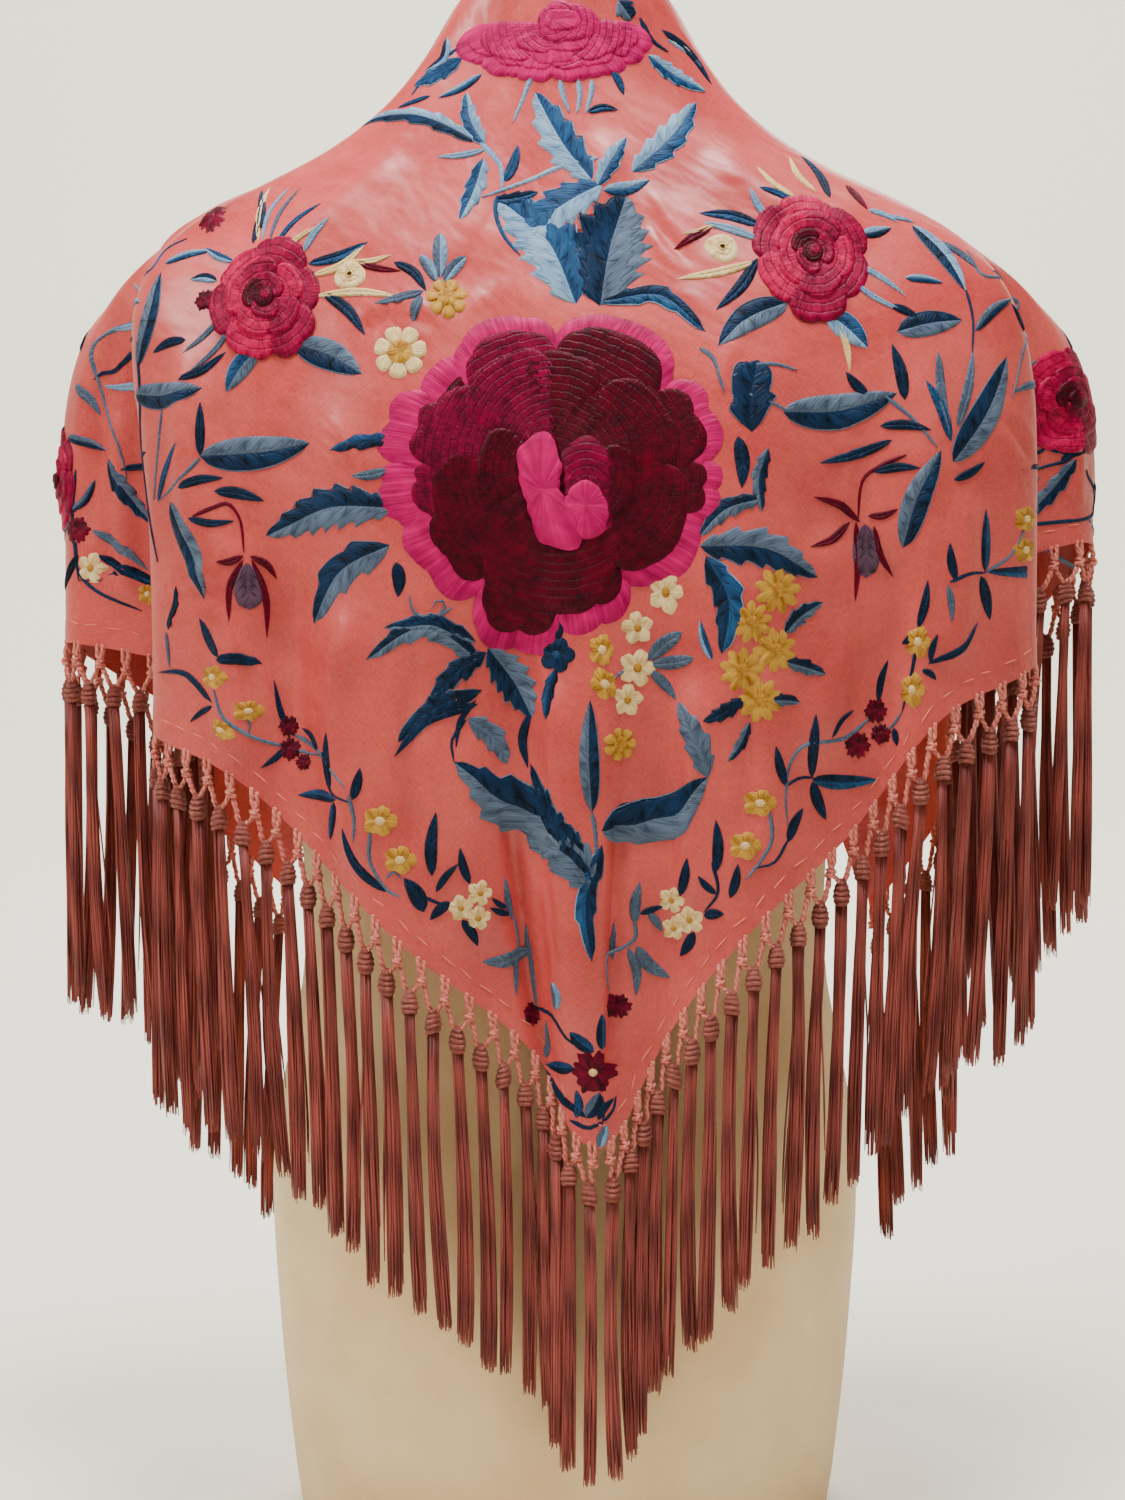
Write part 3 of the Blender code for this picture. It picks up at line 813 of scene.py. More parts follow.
@dataclass
class DressForm:
    """The limbless torso under the shawl."""

    rings: tuple[Ring, ...] = (
        Ring("base", 0.000, 0.146, 0.098, 0.000),
        Ring("low_hip", 0.100, 0.156, 0.106, 0.000),
        Ring("hip", 0.200, 0.159, 0.108, 0.000),
        Ring("waist", 0.310, 0.141, 0.094, 0.002),
        Ring("ribs", 0.430, 0.150, 0.100, 0.004),
        Ring("chest", 0.540, 0.168, 0.108, 0.004),
        Ring("blades", 0.600, 0.189, 0.108, 0.001),
        Ring("arm_end", 0.648, 0.215, 0.098, -0.002),
        Ring("shoulder", 0.682, 0.211, 0.084, -0.004),
        Ring("slope", 0.705, 0.178, 0.073, -0.005),
        Ring("slope_in", 0.725, 0.132, 0.064, -0.004),
        Ring("neck_root", 0.745, 0.088, 0.057, -0.002),
        Ring("neck_low", 0.767, 0.062, 0.052, 0.001),
        Ring("neck", 0.795, 0.051, 0.048, 0.003),
        Ring("neck_top", 0.850, 0.050, 0.048, 0.004),
    )
    squareness: float = 2.15
    cap_round: float = 0.006
    base_round: float = 0.003
    sides: int = 96
    steps_a_stretch: int = 5

    def ring_at(self, z: float) -> tuple[float, float, float]:
        """Reads the form's oval at a height.

        Args:
            z: the height.

        Returns:
            The oval's half width, half depth and centre's Y.
        """
        z = min(max(z, self.rings[0].z), self.rings[-1].z)
        below = max(k for k in range(len(self.rings) - 1) if self.rings[k].z <= z)
        place = below + (z - self.rings[below].z) / (self.rings[below + 1].z - self.rings[below].z)
        sizes = ("half_width", "half_depth", "centre_y")
        return tuple(spline([getattr(ring, size) for ring in self.rings], place) for size in sizes)

    def level(self, point: Vector) -> float:
        """Measures how deep in the form a point lies.

        Args:
            point: the point.

        Returns:
            1 on the form's surface, less inside it and more outside.
        """
        half_width, half_depth, centre_y = self.ring_at(point.z)
        across = abs(point.x / half_width) ** self.squareness
        deep = abs((point.y - centre_y) / half_depth) ** self.squareness
        return (across + deep) ** (1.0 / self.squareness)

    def push_off(self, point: Vector, clear: float) -> Vector:
        """Moves a point straight out of the form, where it lies too near.

        Args:
            point: the point.
            clear: how far from the form's surface it has to be.

        Returns:
            The same point, or the moved one.
        """
        step = 0.0004
        for _ in range(12):
            slope = Vector(
                (self.level(point + axis * step) - self.level(point - axis * step)) / (2 * step)
                for axis in Matrix.Identity(3)
            )
            distance = (self.level(point) - 1.0) / slope.length
            if distance >= clear:
                break
            point = point + slope.normalized() * (clear - distance)
        return point

    def outline(self) -> list[tuple[float, float, float, float]]:
        """Every ring of the finished skin, from the rounded base edge to the rounded neck top."""
        rings = []
        half_width, half_depth, centre_y = self.ring_at(0.0)
        for turn in (math.radians(90.0), math.radians(45.0)):
            inset = self.base_round * (1 - math.cos(turn))
            z = self.base_round * (1 - math.sin(turn))
            rings.append((z, half_width - inset, half_depth - inset, centre_y))
        for low, high in zip(self.rings, self.rings[1:]):
            for k in range(self.steps_a_stretch):
                z = low.z + (high.z - low.z) * k / self.steps_a_stretch
                if self.base_round <= z <= self.rings[-1].z - self.cap_round:
                    rings.append((z, *self.ring_at(z)))
        half_width, half_depth, centre_y = self.ring_at(self.rings[-1].z)
        for turn in (0.0, 30.0, 60.0, 90.0):
            inset = self.cap_round * (1 - math.cos(math.radians(turn)))
            z = self.rings[-1].z - self.cap_round + self.cap_round * math.sin(math.radians(turn))
            rings.append((z, half_width - inset, half_depth - inset, centre_y))
        return rings

    def build(self, cover: bpy.types.Material) -> bpy.types.Object:
        """Draws the base oval and extrudes it ring by ring to the neck.

        Args:
            cover: the finish of its skin.

        Returns:
            The finished piece.
        """
        rings = self.outline()
        deselect_everything()
        bpy.ops.mesh.primitive_circle_add(vertices=self.sides, radius=1.0, fill_type="NGON", location=(0, 0, 0))
        form = bpy.context.object
        power = 2.0 / self.squareness
        z, half_width, half_depth, centre_y = rings[0]
        for point in form.data.vertices:
            x = half_width * math.copysign(abs(point.co.x) ** power, point.co.x)
            y = centre_y + half_depth * math.copysign(abs(point.co.y) ** power, point.co.y)
            point.co = (x, y, z)
        bpy.ops.object.mode_set(mode="EDIT")
        bpy.ops.mesh.select_mode(type="FACE")
        bpy.ops.mesh.select_all(action="SELECT")
        for low, high in zip(rings, rings[1:]):
            rise = (0, high[3] - low[3], high[0] - low[0])
            bpy.ops.mesh.extrude_region_move(TRANSFORM_OT_translate={"value": rise})
            growth = (high[1] / low[1], high[2] / low[2], 1.0)
            bpy.ops.transform.resize(value=growth, center_override=(0, high[3], high[0]))
        bpy.ops.mesh.inset(thickness=0.012)
        bpy.ops.object.mode_set(mode="OBJECT")
        face_outwards(form)
        bpy.ops.object.shade_smooth_by_angle(angle=math.radians(50))
        form.name = form.data.name = "form_body"
        form.data.materials.append(cover)
        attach(form, "root")
        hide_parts("dress_form")
        return form


# ---- cloth ----------------------------------------------------------------------------------------
class View(Enum):
    """What a place on the cloth is seen from, with the way from the form to the eye."""

    PHOTO = (0, -1, 0)
    FRONT = (0, 1, 0)
    RIGHT = (1, 0, 0)
    LEFT = (-1, 0, 0)


class Chart:
    """Finds places on the outside of the cloth, and directions there."""

    def __init__(self, outside: np.ndarray, stand: CameraStand) -> None:
        """Takes the grid of the cloth's outside and the camera."""
        wide, high = outside.shape[:2]
        corner = np.arange(wide * high).reshape(wide, high)
        faces = np.stack([corner[:-1, :-1], corner[:-1, 1:], corner[1:, 1:], corner[1:, :-1]], axis=2)
        self.tree = BVHTree.FromPolygons(
            [Vector(point) for point in outside.reshape(-1, 3)],
            [tuple(face) for face in faces.reshape(-1, 4).tolist()],
        )
        self.stand = stand

    def look(self, view: View, across: float, down: float) -> Vector:
        """A place on the cloth by where it is seen.

        Args:
            view: the photograph, for pixels, or a side seen square on, for millimetres.
            across: pixels from the left, or X or Y in millimetres.
            down: pixels from the top, or the height in millimetres.

        Returns:
            The point on the cloth, or the nearest one to the line of sight.
        """
        if view is View.PHOTO:
            start, way = self.stand.ray(across, down)
            depth = 1.3
        else:
            eye = Vector(view.value)
            x, y = (across / 1000, 0.0) if view is View.FRONT else (0.0, across / 1000)
            start, way = Vector((x, y, down / 1000)) + eye, -eye
            depth = 0.85
        hit = self.tree.ray_cast(start, way)[0]
        if hit is not None:
            return hit
        for _ in range(4):
            near = self.tree.find_nearest(start + way * depth)[0]
            depth = (near - start).dot(way)
        return near

    def out(self, point: Vector) -> Vector:
        """The cloth's outward direction at the place nearest to a point."""
        return self.tree.find_nearest(point)[1]

    def facing(self, point: Vector, reach: float = 0.0) -> Vector:
        """The cloth's outward direction near a point, evened out.

        Args:
            point: the point.
            reach: how far round it the direction is evened out.

        Returns:
            The direction.
        """
        total = self.out(point).copy()
        if reach > 0:
            side = total.orthogonal().normalized() * reach
            for turn in range(6):
                total += self.out(point + Matrix.Rotation(turn * math.tau / 6, 3, total.normalized()) @ side)
        return total.normalized()


class EdgePoint(NamedTuple):
    """A point of the long edge, whose right corner hangs lower than its left one."""

    name: str
    y: float
    right_x: float
    right_z: float
    left_x: float
    left_z: float


class Section(NamedTuple):
    """One section of the cloth, from the long edge over the shoulder to the hem."""

    name: str
    along_edge: float
    top_x: float
    top_y: float
    top_z: float
    hem_y: float
    right_x: float
    right_z: float
    left_x: float
    left_z: float


class Crease(NamedTuple):
    """One soft ridge or trough: what it is seen from, its points, half width and height in metres."""

    view: View
    points: tuple[Point, ...]
    half_width: float
    height: float


class Draped(NamedTuple):
    """The hung cloth, the chart of its outside, its hem's points and the line of its hem's stitches."""

    piece: bpy.types.Object
    chart: Chart
    hem: list[Vector]
    seam: list[Vector]


HEIGHT_STEPS = 430  # the creases' heights are given in this many steps of a metre


def creases(view: View, rows: Sequence[tuple], side: int = 1) -> list[Crease]:
    """Reads rows of a crease table.

    Args:
        view: what they are seen from.
        rows: the half width in millimetres, the height in steps of a metre, and the points.
        side: -1 mirrors them from side to side.

    Returns:
        The creases.
    """
    return [
        Crease(view, tuple((side * x, y) for x, y in points), wide / 1000, high / HEIGHT_STEPS)
        for wide, high, *points in rows
    ]


BACK_CREASES = (
    (14, 3.4, (556, 660), (560, 780), (570, 940), (583, 1090)),
    (5, -3.0, (508, 800), (520, 900), (534, 1010), (548, 1100)),
    (5, -3.0, (628, 780), (618, 900), (614, 1010), (612, 1100)),
    (11, 2.4, (352, 590), (338, 690), (344, 800), (362, 880)), (9, -1.8, (296, 560), (290, 680), (300, 780)),
    (8, -1.6, (420, 640), (408, 760), (424, 880)), (9, 1.6, (232, 600), (226, 700), (240, 770)),
    (12, 1.8, (470, 720), (468, 840), (492, 960)), (13, 2.4, (812, 520), (842, 640), (800, 780)),
    (9, -1.8, (896, 540), (894, 640), (872, 760)), (10, 1.8, (700, 660), (694, 800), (684, 930)),
    (8, -1.5, (748, 600), (752, 740), (744, 860)), (9, 1.6, (968, 480), (962, 580), (950, 680)),
    (9, 1.5, (190, 330), (184, 460), (196, 560)), (8, -1.3, (224, 380), (222, 480), (236, 560)),
    (10, -1.4, (520, 190), (490, 250), (430, 300)), (9, 1.3, (560, 240), (600, 190), (610, 130)),
    (12, 1.6, (410, 150), (330, 210), (240, 280)), (12, 1.6, (700, 150), (780, 200), (880, 240)),
    (2.6, 0.8, (350, 318), (400, 304), (452, 320)), (2.4, -0.7, (356, 330), (400, 318), (440, 330)),
    (2.6, 0.8, (372, 340), (404, 322), (438, 342)), (2.4, 0.7, (456, 312), (500, 290), (548, 300)),
    (2.6, 0.8, (652, 196), (674, 224), (702, 246)), (2.4, -0.7, (648, 210), (668, 238), (694, 262)),
    (2.6, 0.8, (646, 224), (662, 250), (686, 276)), (2.4, 0.7, (640, 186), (676, 210), (716, 226)),
    (2.6, 0.8, (660, 290), (692, 296), (716, 316)), (2.6, 0.8, (156, 596), (186, 576), (226, 570)),
    (2.4, -0.7, (158, 612), (190, 594), (228, 590)), (2.6, 0.8, (160, 632), (192, 612), (224, 612)),
    (2.6, 0.8, (996, 396), (1020, 420), (1036, 450)), (2.6, 0.8, (1000, 430), (1018, 452), (1034, 482)),
    (2.4, -0.7, (998, 412), (1020, 438), (1034, 466)), (2.6, 0.8, (470, 650), (462, 684), (446, 716)),
    (2.6, 0.8, (540, 650), (548, 690), (540, 730)), (2.6, 0.8, (600, 640), (612, 700), (606, 760)),
    (2.8, 0.9, (284, 380), (276, 420), (300, 440)), (2.8, 0.8, (330, 410), (352, 450), (362, 500)),
    (2.8, 0.8, (760, 320), (730, 350), (716, 400)), (3.0, 0.9, (836, 420), (850, 470), (838, 520)),
    (2.6, 0.7, (546, 860), (552, 940), (566, 1010)), (3.0, 0.8, (240, 640), (262, 680), (270, 720)),
    (6, -1.2, (96, 420), (104, 520), (112, 600)), (6, 1.4, (116, 400), (122, 500), (128, 610)),
    (6, 1.3, (1068, 380), (1076, 450), (1074, 520)), (3, 0.9, (90, 560), (112, 582), (140, 590)),
)
FRONT_CREASES = (
    (10, 2.2, (104, 700), (136, 600), (152, 500), (160, 420)),
    (8, -1.8, (130, 690), (168, 600), (184, 500), (186, 420)), (10, 2.0, (170, 660), (206, 580), (222, 500)),
    (7, -1.5, (206, 640), (244, 570), (252, 500)), (3, 0.8, (190, 590), (214, 600), (240, 596)),
    (3, 0.8, (120, 560), (134, 540), (138, 510)), (8, 1.6, (176, 470), (184, 420), (182, 360)),
    (3, 0.7, (150, 610), (170, 620), (196, 616)),
)
ARM_CREASES = (
    (9, 1.8, (22, 660), (30, 600), (36, 530)), (8, -1.5, (2, 660), (4, 590), (8, 520)),
    (8, 1.5, (-20, 650), (-20, 590), (-14, 530)), (3, 0.8, (30, 600), (44, 590), (54, 570)),
)


@dataclass
class Shawl:
    """The triangle of silk: its drape, its creases and its thin shell."""

    wall: float = 0.0012
    clear: float = 0.0008
    columns_a_leg: int = 50
    rows: int = 13
    column_steps: int = 4
    row_steps: int = 8
    leg: float = 0.79
    hem_width: float = 0.007
    hem_rise: float = 0.0004
    stitch_inset: float = 0.0078
    root_share: float = 0.38
    root_tuck: float = 0.82
    root_dip: float = 0.022
    tuck_from: float = 0.70
    tuck_full: float = 0.78
    hang_share: float = 0.34
    hang_pull: float = 0.88
    edge: tuple[EdgePoint, ...] = (
        EdgePoint("nape", -0.053, 0.000, 0.826, 0.000, 0.826),
        EdgePoint("behind_neck", -0.040, 0.044, 0.815, -0.044, 0.815),
        EdgePoint("neck_side", 0.002, 0.066, 0.789, -0.066, 0.789),
        EdgePoint("neck_front", 0.052, 0.062, 0.744, -0.062, 0.744),
        EdgePoint("upper_chest", 0.101, 0.082, 0.660, -0.080, 0.664),
        EdgePoint("chest", 0.122, 0.112, 0.548, -0.104, 0.560),
        EdgePoint("ribs", 0.131, 0.147, 0.432, -0.130, 0.456),
        EdgePoint("corner", 0.134, 0.166, 0.330, -0.150, 0.343),
    )
    sections: tuple[Section, ...] = (
        Section("tip", 0.00, 0.000, -0.113, 0.630, -0.133, 0.019, 0.225, 0.019, 0.225),
        Section("tip_side", 0.01, 0.016, -0.113, 0.631, -0.129, 0.027, 0.232, 0.005, 0.231),
        Section("tail", 0.02, 0.034, -0.112, 0.632, -0.122, 0.052, 0.281, -0.019, 0.275),
        Section("low_back", 0.06, 0.084, -0.112, 0.636, -0.134, 0.092, 0.335, -0.084, 0.331),
        Section("mid_back", 0.10, 0.134, -0.099, 0.650, -0.108, 0.146, 0.384, -0.138, 0.385),
        Section("blade", 0.13, 0.184, -0.085, 0.662, -0.106, 0.190, 0.440, -0.173, 0.414),
        Section("back_fold", 0.16, 0.230, -0.057, 0.672, -0.062, 0.244, 0.467, -0.214, 0.431),
        Section("back_valley", 0.19, 0.234, -0.021, 0.678, -0.016, 0.212, 0.502, -0.188, 0.455),
        Section("arm", 0.24, 0.244, 0.010, 0.672, 0.014, 0.285, 0.527, -0.268, 0.472),
        Section("arm_front", 0.32, 0.230, 0.046, 0.664, 0.066, 0.271, 0.492, -0.263, 0.458),
        Section("front_valley", 0.44, 0.188, 0.076, 0.624, 0.088, 0.222, 0.428, -0.208, 0.416),
        Section("front_fold", 0.62, 0.156, 0.113, 0.540, 0.124, 0.226, 0.374, -0.222, 0.378),
        Section("corner", 0.96, 0.174, 0.136, 0.324, 0.142, 0.182, 0.304, -0.165, 0.318),
    )
    creases: tuple[Crease, ...] = (
        *creases(View.PHOTO, BACK_CREASES),
        *creases(View.FRONT, FRONT_CREASES), *creases(View.FRONT, FRONT_CREASES, -1),
        *creases(View.RIGHT, ARM_CREASES), *creases(View.LEFT, ARM_CREASES),
    )

    @staticmethod
    def on_side(row: EdgePoint | Section, y: float, side: int) -> Vector:
        """The row's point on the right, where side is 1, or on the left."""
        return Vector((row.right_x, y, row.right_z) if side > 0 else (row.left_x, y, row.left_z))

    def hem_curve(self, side: int) -> Curve:
        """The hem from the tip to a front corner; side is 1 on the right and -1 on the left."""
        points = [self.on_side(row, row.hem_y, side) for row in self.sections]
        return lambda place: spline(points, place)

    def edge_share(self, place: float) -> float:
        """How far along the long edge a section starts, from its middle at 0 to a corner at 1."""
        return held_share(spline([row.along_edge for row in self.sections], place))

    def section_points(self, side: int, place: float) -> list[Vector]:
        """Finds one section of the cloth.

        Args:
            side: 1 on the right and -1 on the left.
            place: where it lies in the table of sections.

        Returns:
            Its rows + 1 points, from the long edge down to the hem.
        """
        at_edge = self.edge_share(place) * (len(self.edge) - 1)
        start, right_start = (
            spline([self.on_side(point, point.y, half) for point in self.edge], at_edge) for half in (side, 1)
        )
        top = spline([Vector((row.top_x * side, row.top_y, row.top_z)) for row in self.sections], place)
        top = top + start - Vector((right_start.x * side, right_start.y, right_start.z))
        end = self.hem_curve(side)(place)
        root = start.lerp(top, self.root_share)
        tucked = held_share((start.z - self.tuck_from) / (self.tuck_full - self.tuck_from))
        drawn = Vector((root.x * self.root_tuck, root.y * self.root_tuck, root.z - self.root_dip))
        root = root.lerp(drawn, tucked)
        plumb = top.lerp(end, self.hang_pull)
        plumb.z = top.z + (end.z - top.z) * self.hang_share
        controls = [start, root, top, plumb, end]
        last = len(controls) - 1
        places = even_places(lambda at: spline(controls, at), last, self.rows, 60)
        return [spline(controls, at) for at in places]

    def drape(self, form: DressForm) -> tuple[list[list[Vector]], list[list[float]]]:
        """Hangs the cloth over the form, as its solid hangs.

        Args:
            form: the dress form that carries it.

        Returns:
            Columns of points on the cloth's inside, from the left corner to the right one, and for
            each column its share along the long edge and its distance along the hem from the tip.
        """
        halves, shares = {}, {}
        last = len(self.sections) - 1
        for side in (-1, 1):
            places = even_places(self.hem_curve(side), last, self.columns_a_leg)
            halves[side] = [self.section_points(side, place) for place in places]
            shares[side] = [
                [side * self.edge_share(place), side * self.leg * k / self.columns_a_leg]
                for k, place in enumerate(places)
            ]
        columns = halves[-1][:0:-1] + halves[1]
        for _ in range(3):
            columns = [[form.push_off(point, self.clear) for point in column] for column in columns]
            for column in columns:
                relaxed = [(column[j - 1] + column[j] * 2 + column[j + 1]) / 4 for j in range(1, self.rows)]
                column[1:self.rows] = relaxed
        columns = [[form.push_off(point, self.clear) for point in column] for column in columns]
        for _ in range(8):
            for left, right in zip(columns, columns[1:]):
                for j in range(self.rows):
                    middle = (left[j] + left[j + 1] + right[j] + right[j + 1]) / 4
                    lift = form.push_off(middle, self.clear) - middle
                    if lift.length > 0.0:
                        for column in (left, right):
                            column[j] = column[j] + lift
                            column[j + 1] = column[j + 1] + lift
        return columns, shares[-1][:0:-1] + shares[1]

    @staticmethod
    def outward(points: np.ndarray) -> np.ndarray:
        """The outward direction at each point of a fine grid of columns.

        Args:
            points: the grid.

        Returns:
            The directions, of length 1.
        """
        along = np.gradient(points, axis=0)
        down = np.gradient(points, axis=1)
        normals = np.cross(down, along)
        return normals / np.maximum(np.linalg.norm(normals, axis=2, keepdims=True), 1e-9)

    def flat_map(self, shares: list[list[float]]) -> np.ndarray:
        """Lays the cloth flat.

        Args:
            shares: each column's share along the long edge and distance along the hem.

        Returns:
            Where each point lies in the flat triangle, in metres along its two short edges.
        """
        fine = refine(np.array(shares), self.column_steps)
        half_long = self.leg / math.sqrt(2)
        start = np.stack([fine[:, 0] * half_long, np.full(len(fine), half_long)], axis=1)
        end = np.stack([fine[:, 1] / math.sqrt(2), np.abs(fine[:, 1]) / math.sqrt(2)], axis=1)
        down = np.linspace(0.0, 1.0, self.rows * self.row_steps + 1)[None, :, None]
        laid = start[:, None, :] * (1 - down) + end[:, None, :] * down
        return np.stack([laid[..., 0] + laid[..., 1], laid[..., 1] - laid[..., 0]], axis=2) / math.sqrt(2)

    def fine_grid(self, columns: list[list[Vector]]) -> np.ndarray:
        """Makes a finer grid through the draped one, with the tip's corner kept sharp.

        Args:
            columns: the draped columns.

        Returns:
            The finer grid.
        """
        coarse = np.array([[tuple(point) for point in column] for column in columns])
        tall = np.swapaxes(refine(np.swapaxes(coarse, 0, 1), self.row_steps), 0, 1)
        whole = refine(tall, self.column_steps)
        tip = self.columns_a_leg
        left, right = refine(tall[:tip + 1], self.column_steps), refine(tall[tip:], self.column_steps)
        halves = np.concatenate([left[:-1], right])
        share = ease((np.linspace(0.0, 1.0, tall.shape[1]) - 0.62) / 0.3)[None, :, None]
        return whole * (1 - share) + halves * share

    def crease(self, points: np.ndarray, chart: Chart) -> np.ndarray:
        """How far each point of the grid stands out or in, from the table of creases.

        Args:
            points: the fine grid.
            chart: finds the creases' own points on the uncreased cloth.

        Returns:
            The height at each point, in metres.
        """
        flat = points.reshape(-1, 3)
        heights = np.zeros(len(flat))
        for crease in self.creases:
            line = [chart.look(crease.view, *point) for point in crease.points]
            count = max(6, 4 * (len(line) - 1))
            path = np.array([tuple(spline(line, (len(line) - 1) * k / count)) for k in range(count + 1)])
            reach = crease.half_width * 3
            near = np.all((flat > path.min(axis=0) - reach) & (flat < path.max(axis=0) + reach), axis=1)
            spot = flat[near]
            best = np.full(len(spot), np.inf)
            where = np.zeros(len(spot))
            for k, (start, end) in enumerate(zip(path, path[1:])):
                way = end - start
                share = np.clip(((spot - start) @ way) / max(way @ way, 1e-12), 0.0, 1.0)
                apart = np.linalg.norm(spot - start - share[:, None] * way, axis=1)
                closer = apart < best
                best[closer] = apart[closer]
                where[closer] = (k + share[closer]) / (len(path) - 1)
            fade = ease(np.minimum(where, 1 - where) / 0.22)
            heights[near] += crease.height * fade * np.exp(-((best / crease.half_width) ** 2))
        return heights.reshape(points.shape[:2])

    def build(
        self, form: DressForm, body: bpy.types.Object, stand: CameraStand, silk: bpy.types.Material
    ) -> Draped:
        """Hangs, creases and hems the cloth.

        Args:
            form: the dress form's sizes.
            body: the form's finished skin, which the cloth stays off.
            stand: the camera, for places given as pixels.
            silk: the cloth's finish.

        Returns:
            The cloth and what the rest of the work goes by.
        """
        columns, shares = self.drape(form)
        inner = self.fine_grid(columns)
        normals = self.outward(inner)
        before = Chart(inner + normals * self.wall, stand)
        inner = inner + normals * self.crease(inner, before)[..., None]
        skin = BVHTree.FromObject(body, bpy.context.evaluated_depsgraph_get())
        for column in inner:
            for point in column:
                near, facing, _, _ = skin.find_nearest(Vector(point), 0.02)
                if near is not None:
                    short = self.clear * 0.6 - (Vector(point) - near).dot(facing)
                    if short > 0:
                        point += np.array(facing) * short
        normals = self.outward(inner)
        flat = self.flat_map(shares)
        to_hem = flat.min(axis=2)
        turned = 1 - ease((np.abs(to_hem) - self.hem_width * 0.85) / (self.hem_width * 0.3))
        outer = inner + normals * (self.wall * 0.7 + self.hem_rise * turned)[..., None]
        piece = self.shell(inner, outer, flat, silk)
        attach(piece, "root")
        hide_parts("shawl_cloth")
        hem = [Vector(point) for point in ((inner + outer) / 2)[:: self.column_steps, -1]]
        seam = [
            Vector(np.interp(self.stitch_inset, apart[::-1], line[::-1, axis]) for axis in range(3))
            for apart, line in zip(to_hem[4:-4], outer[4:-4])
        ]
        return Draped(piece, Chart(outer, stand), hem, seam)

    @staticmethod
    def shell(
        inner: np.ndarray, outer: np.ndarray, flat: np.ndarray, silk: bpy.types.Material
    ) -> bpy.types.Object:
        """Makes the closed thin shell with its flat map.

        Args:
            inner: the grid of its inside.
            outer: the grid of its outside.
            flat: the flat map of both.
            silk: its finish.

        Returns:
            The piece.
        """
        wide, high = inner.shape[:2]
        lift = wide * high
        corner = np.arange(lift).reshape(wide, high)
        a, b, c, d = corner[:-1, :-1], corner[:-1, 1:], corner[1:, 1:], corner[1:, :-1]
        front = np.stack([a, b, c, d], axis=2).reshape(-1, 4) + lift
        back = np.stack([a, d, c, b], axis=2).reshape(-1, 4)
        faces = [tuple(face) for face in np.concatenate([front, back]).tolist()]
        sides = (corner[:, 0], corner[-1, 1:], corner[-2::-1, -1], corner[0, -2:0:-1])
        loop = [number for side in sides for number in side.tolist()]
        for here, after in zip(loop, loop[1:] + loop[:1]):
            faces.append((here, here + lift, after + lift, after))
        mesh = bpy.data.meshes.new("shawl_silk")
        mesh.from_pydata(np.concatenate([inner.reshape(-1, 3), outer.reshape(-1, 3)]).tolist(), [], faces)
        map_points(mesh, "flat", np.concatenate([flat.reshape(-1, 2)] * 2))
        mesh.materials.append(silk)
        piece = link_piece("shawl_silk", mesh)
        make_active(piece)
        bpy.ops.object.shade_smooth_by_angle(angle=math.radians(60))
        return piece


# ---- cords and fringe -----------------------------------------------------------------------------
class Spool:
    """Gathers round cords and threads, with a map that goes round and along each, for one piece."""

    def __init__(self) -> None:
        """Starts empty."""
        self.points: list[Vector] = []
        self.faces: list[tuple[int, ...]] = []
        self.map: list[Point] = []

    def run(
        self, path: Sequence[Vector], radii: Sequence[float], sides: int = 5, flatness: float = 1.0
    ) -> None:
        """Lays one closed round cord.

        Args:
            path: the points that it follows.
            radii: its radius at each.
            sides: how many sides its section has.
            flatness: its thickness as a share of its width.
        """
        first = len(self.points)
        travel = 0.0
        side = Vector((1.0, 0.0, 0.0))
        for k, (point, radius) in enumerate(zip(path, radii)):
            way = (path[min(k + 1, len(path) - 1)] - path[max(k - 1, 0)]).normalized()
            steep = abs(side.dot(way)) >= 0.98
            side = way.orthogonal().normalized() if steep else (side - way * side.dot(way)).normalized()
            over = way.cross(side)
            for turn in range(sides):
                angle = math.tau * turn / sides
                out = side * (radius * math.cos(angle))
                self.points.append(point + out + over * (radius * flatness * math.sin(angle)))
            if k:
                step = (point - path[k - 1]).length
                low, high = first + (k - 1) * sides, first + k * sides
                for turn in range(sides):
                    after = (turn + 1) % sides
                    self.faces.append((low + turn, low + after, high + after, high + turn))
                    left, right = turn / sides, (turn + 1) / sides
                    self.map += [(left, travel), (right, travel), (right, travel + step), (left, travel + step)]
                travel += step
        last = first + (len(path) - 1) * sides
        for ring in (range(first + sides - 1, first - 1, -1), range(last, last + sides)):
            self.faces.append(tuple(ring))
            self.map += [(0.5, 0.0)] * sides

    def build(self, name: str, finish: bpy.types.Material) -> bpy.types.Object:
        """Makes the piece.

        Args:
            name: its name.
            finish: its material.

        Returns:
            The piece.
        """
        mesh = bpy.data.meshes.new(name)
        mesh.from_pydata([tuple(point) for point in self.points], [], self.faces)
        layer = mesh.uv_layers.new(name="threads")
        layer.data.foreach_set("uv", [number for corner in self.map for number in corner])
        mesh.materials.append(finish)
        mesh.shade_smooth()
        return link_piece(name, mesh)


class Side(Enum):
    """Which leg of the shawl a fringe hangs from."""

    RIGHT = 1
    LEFT = -1


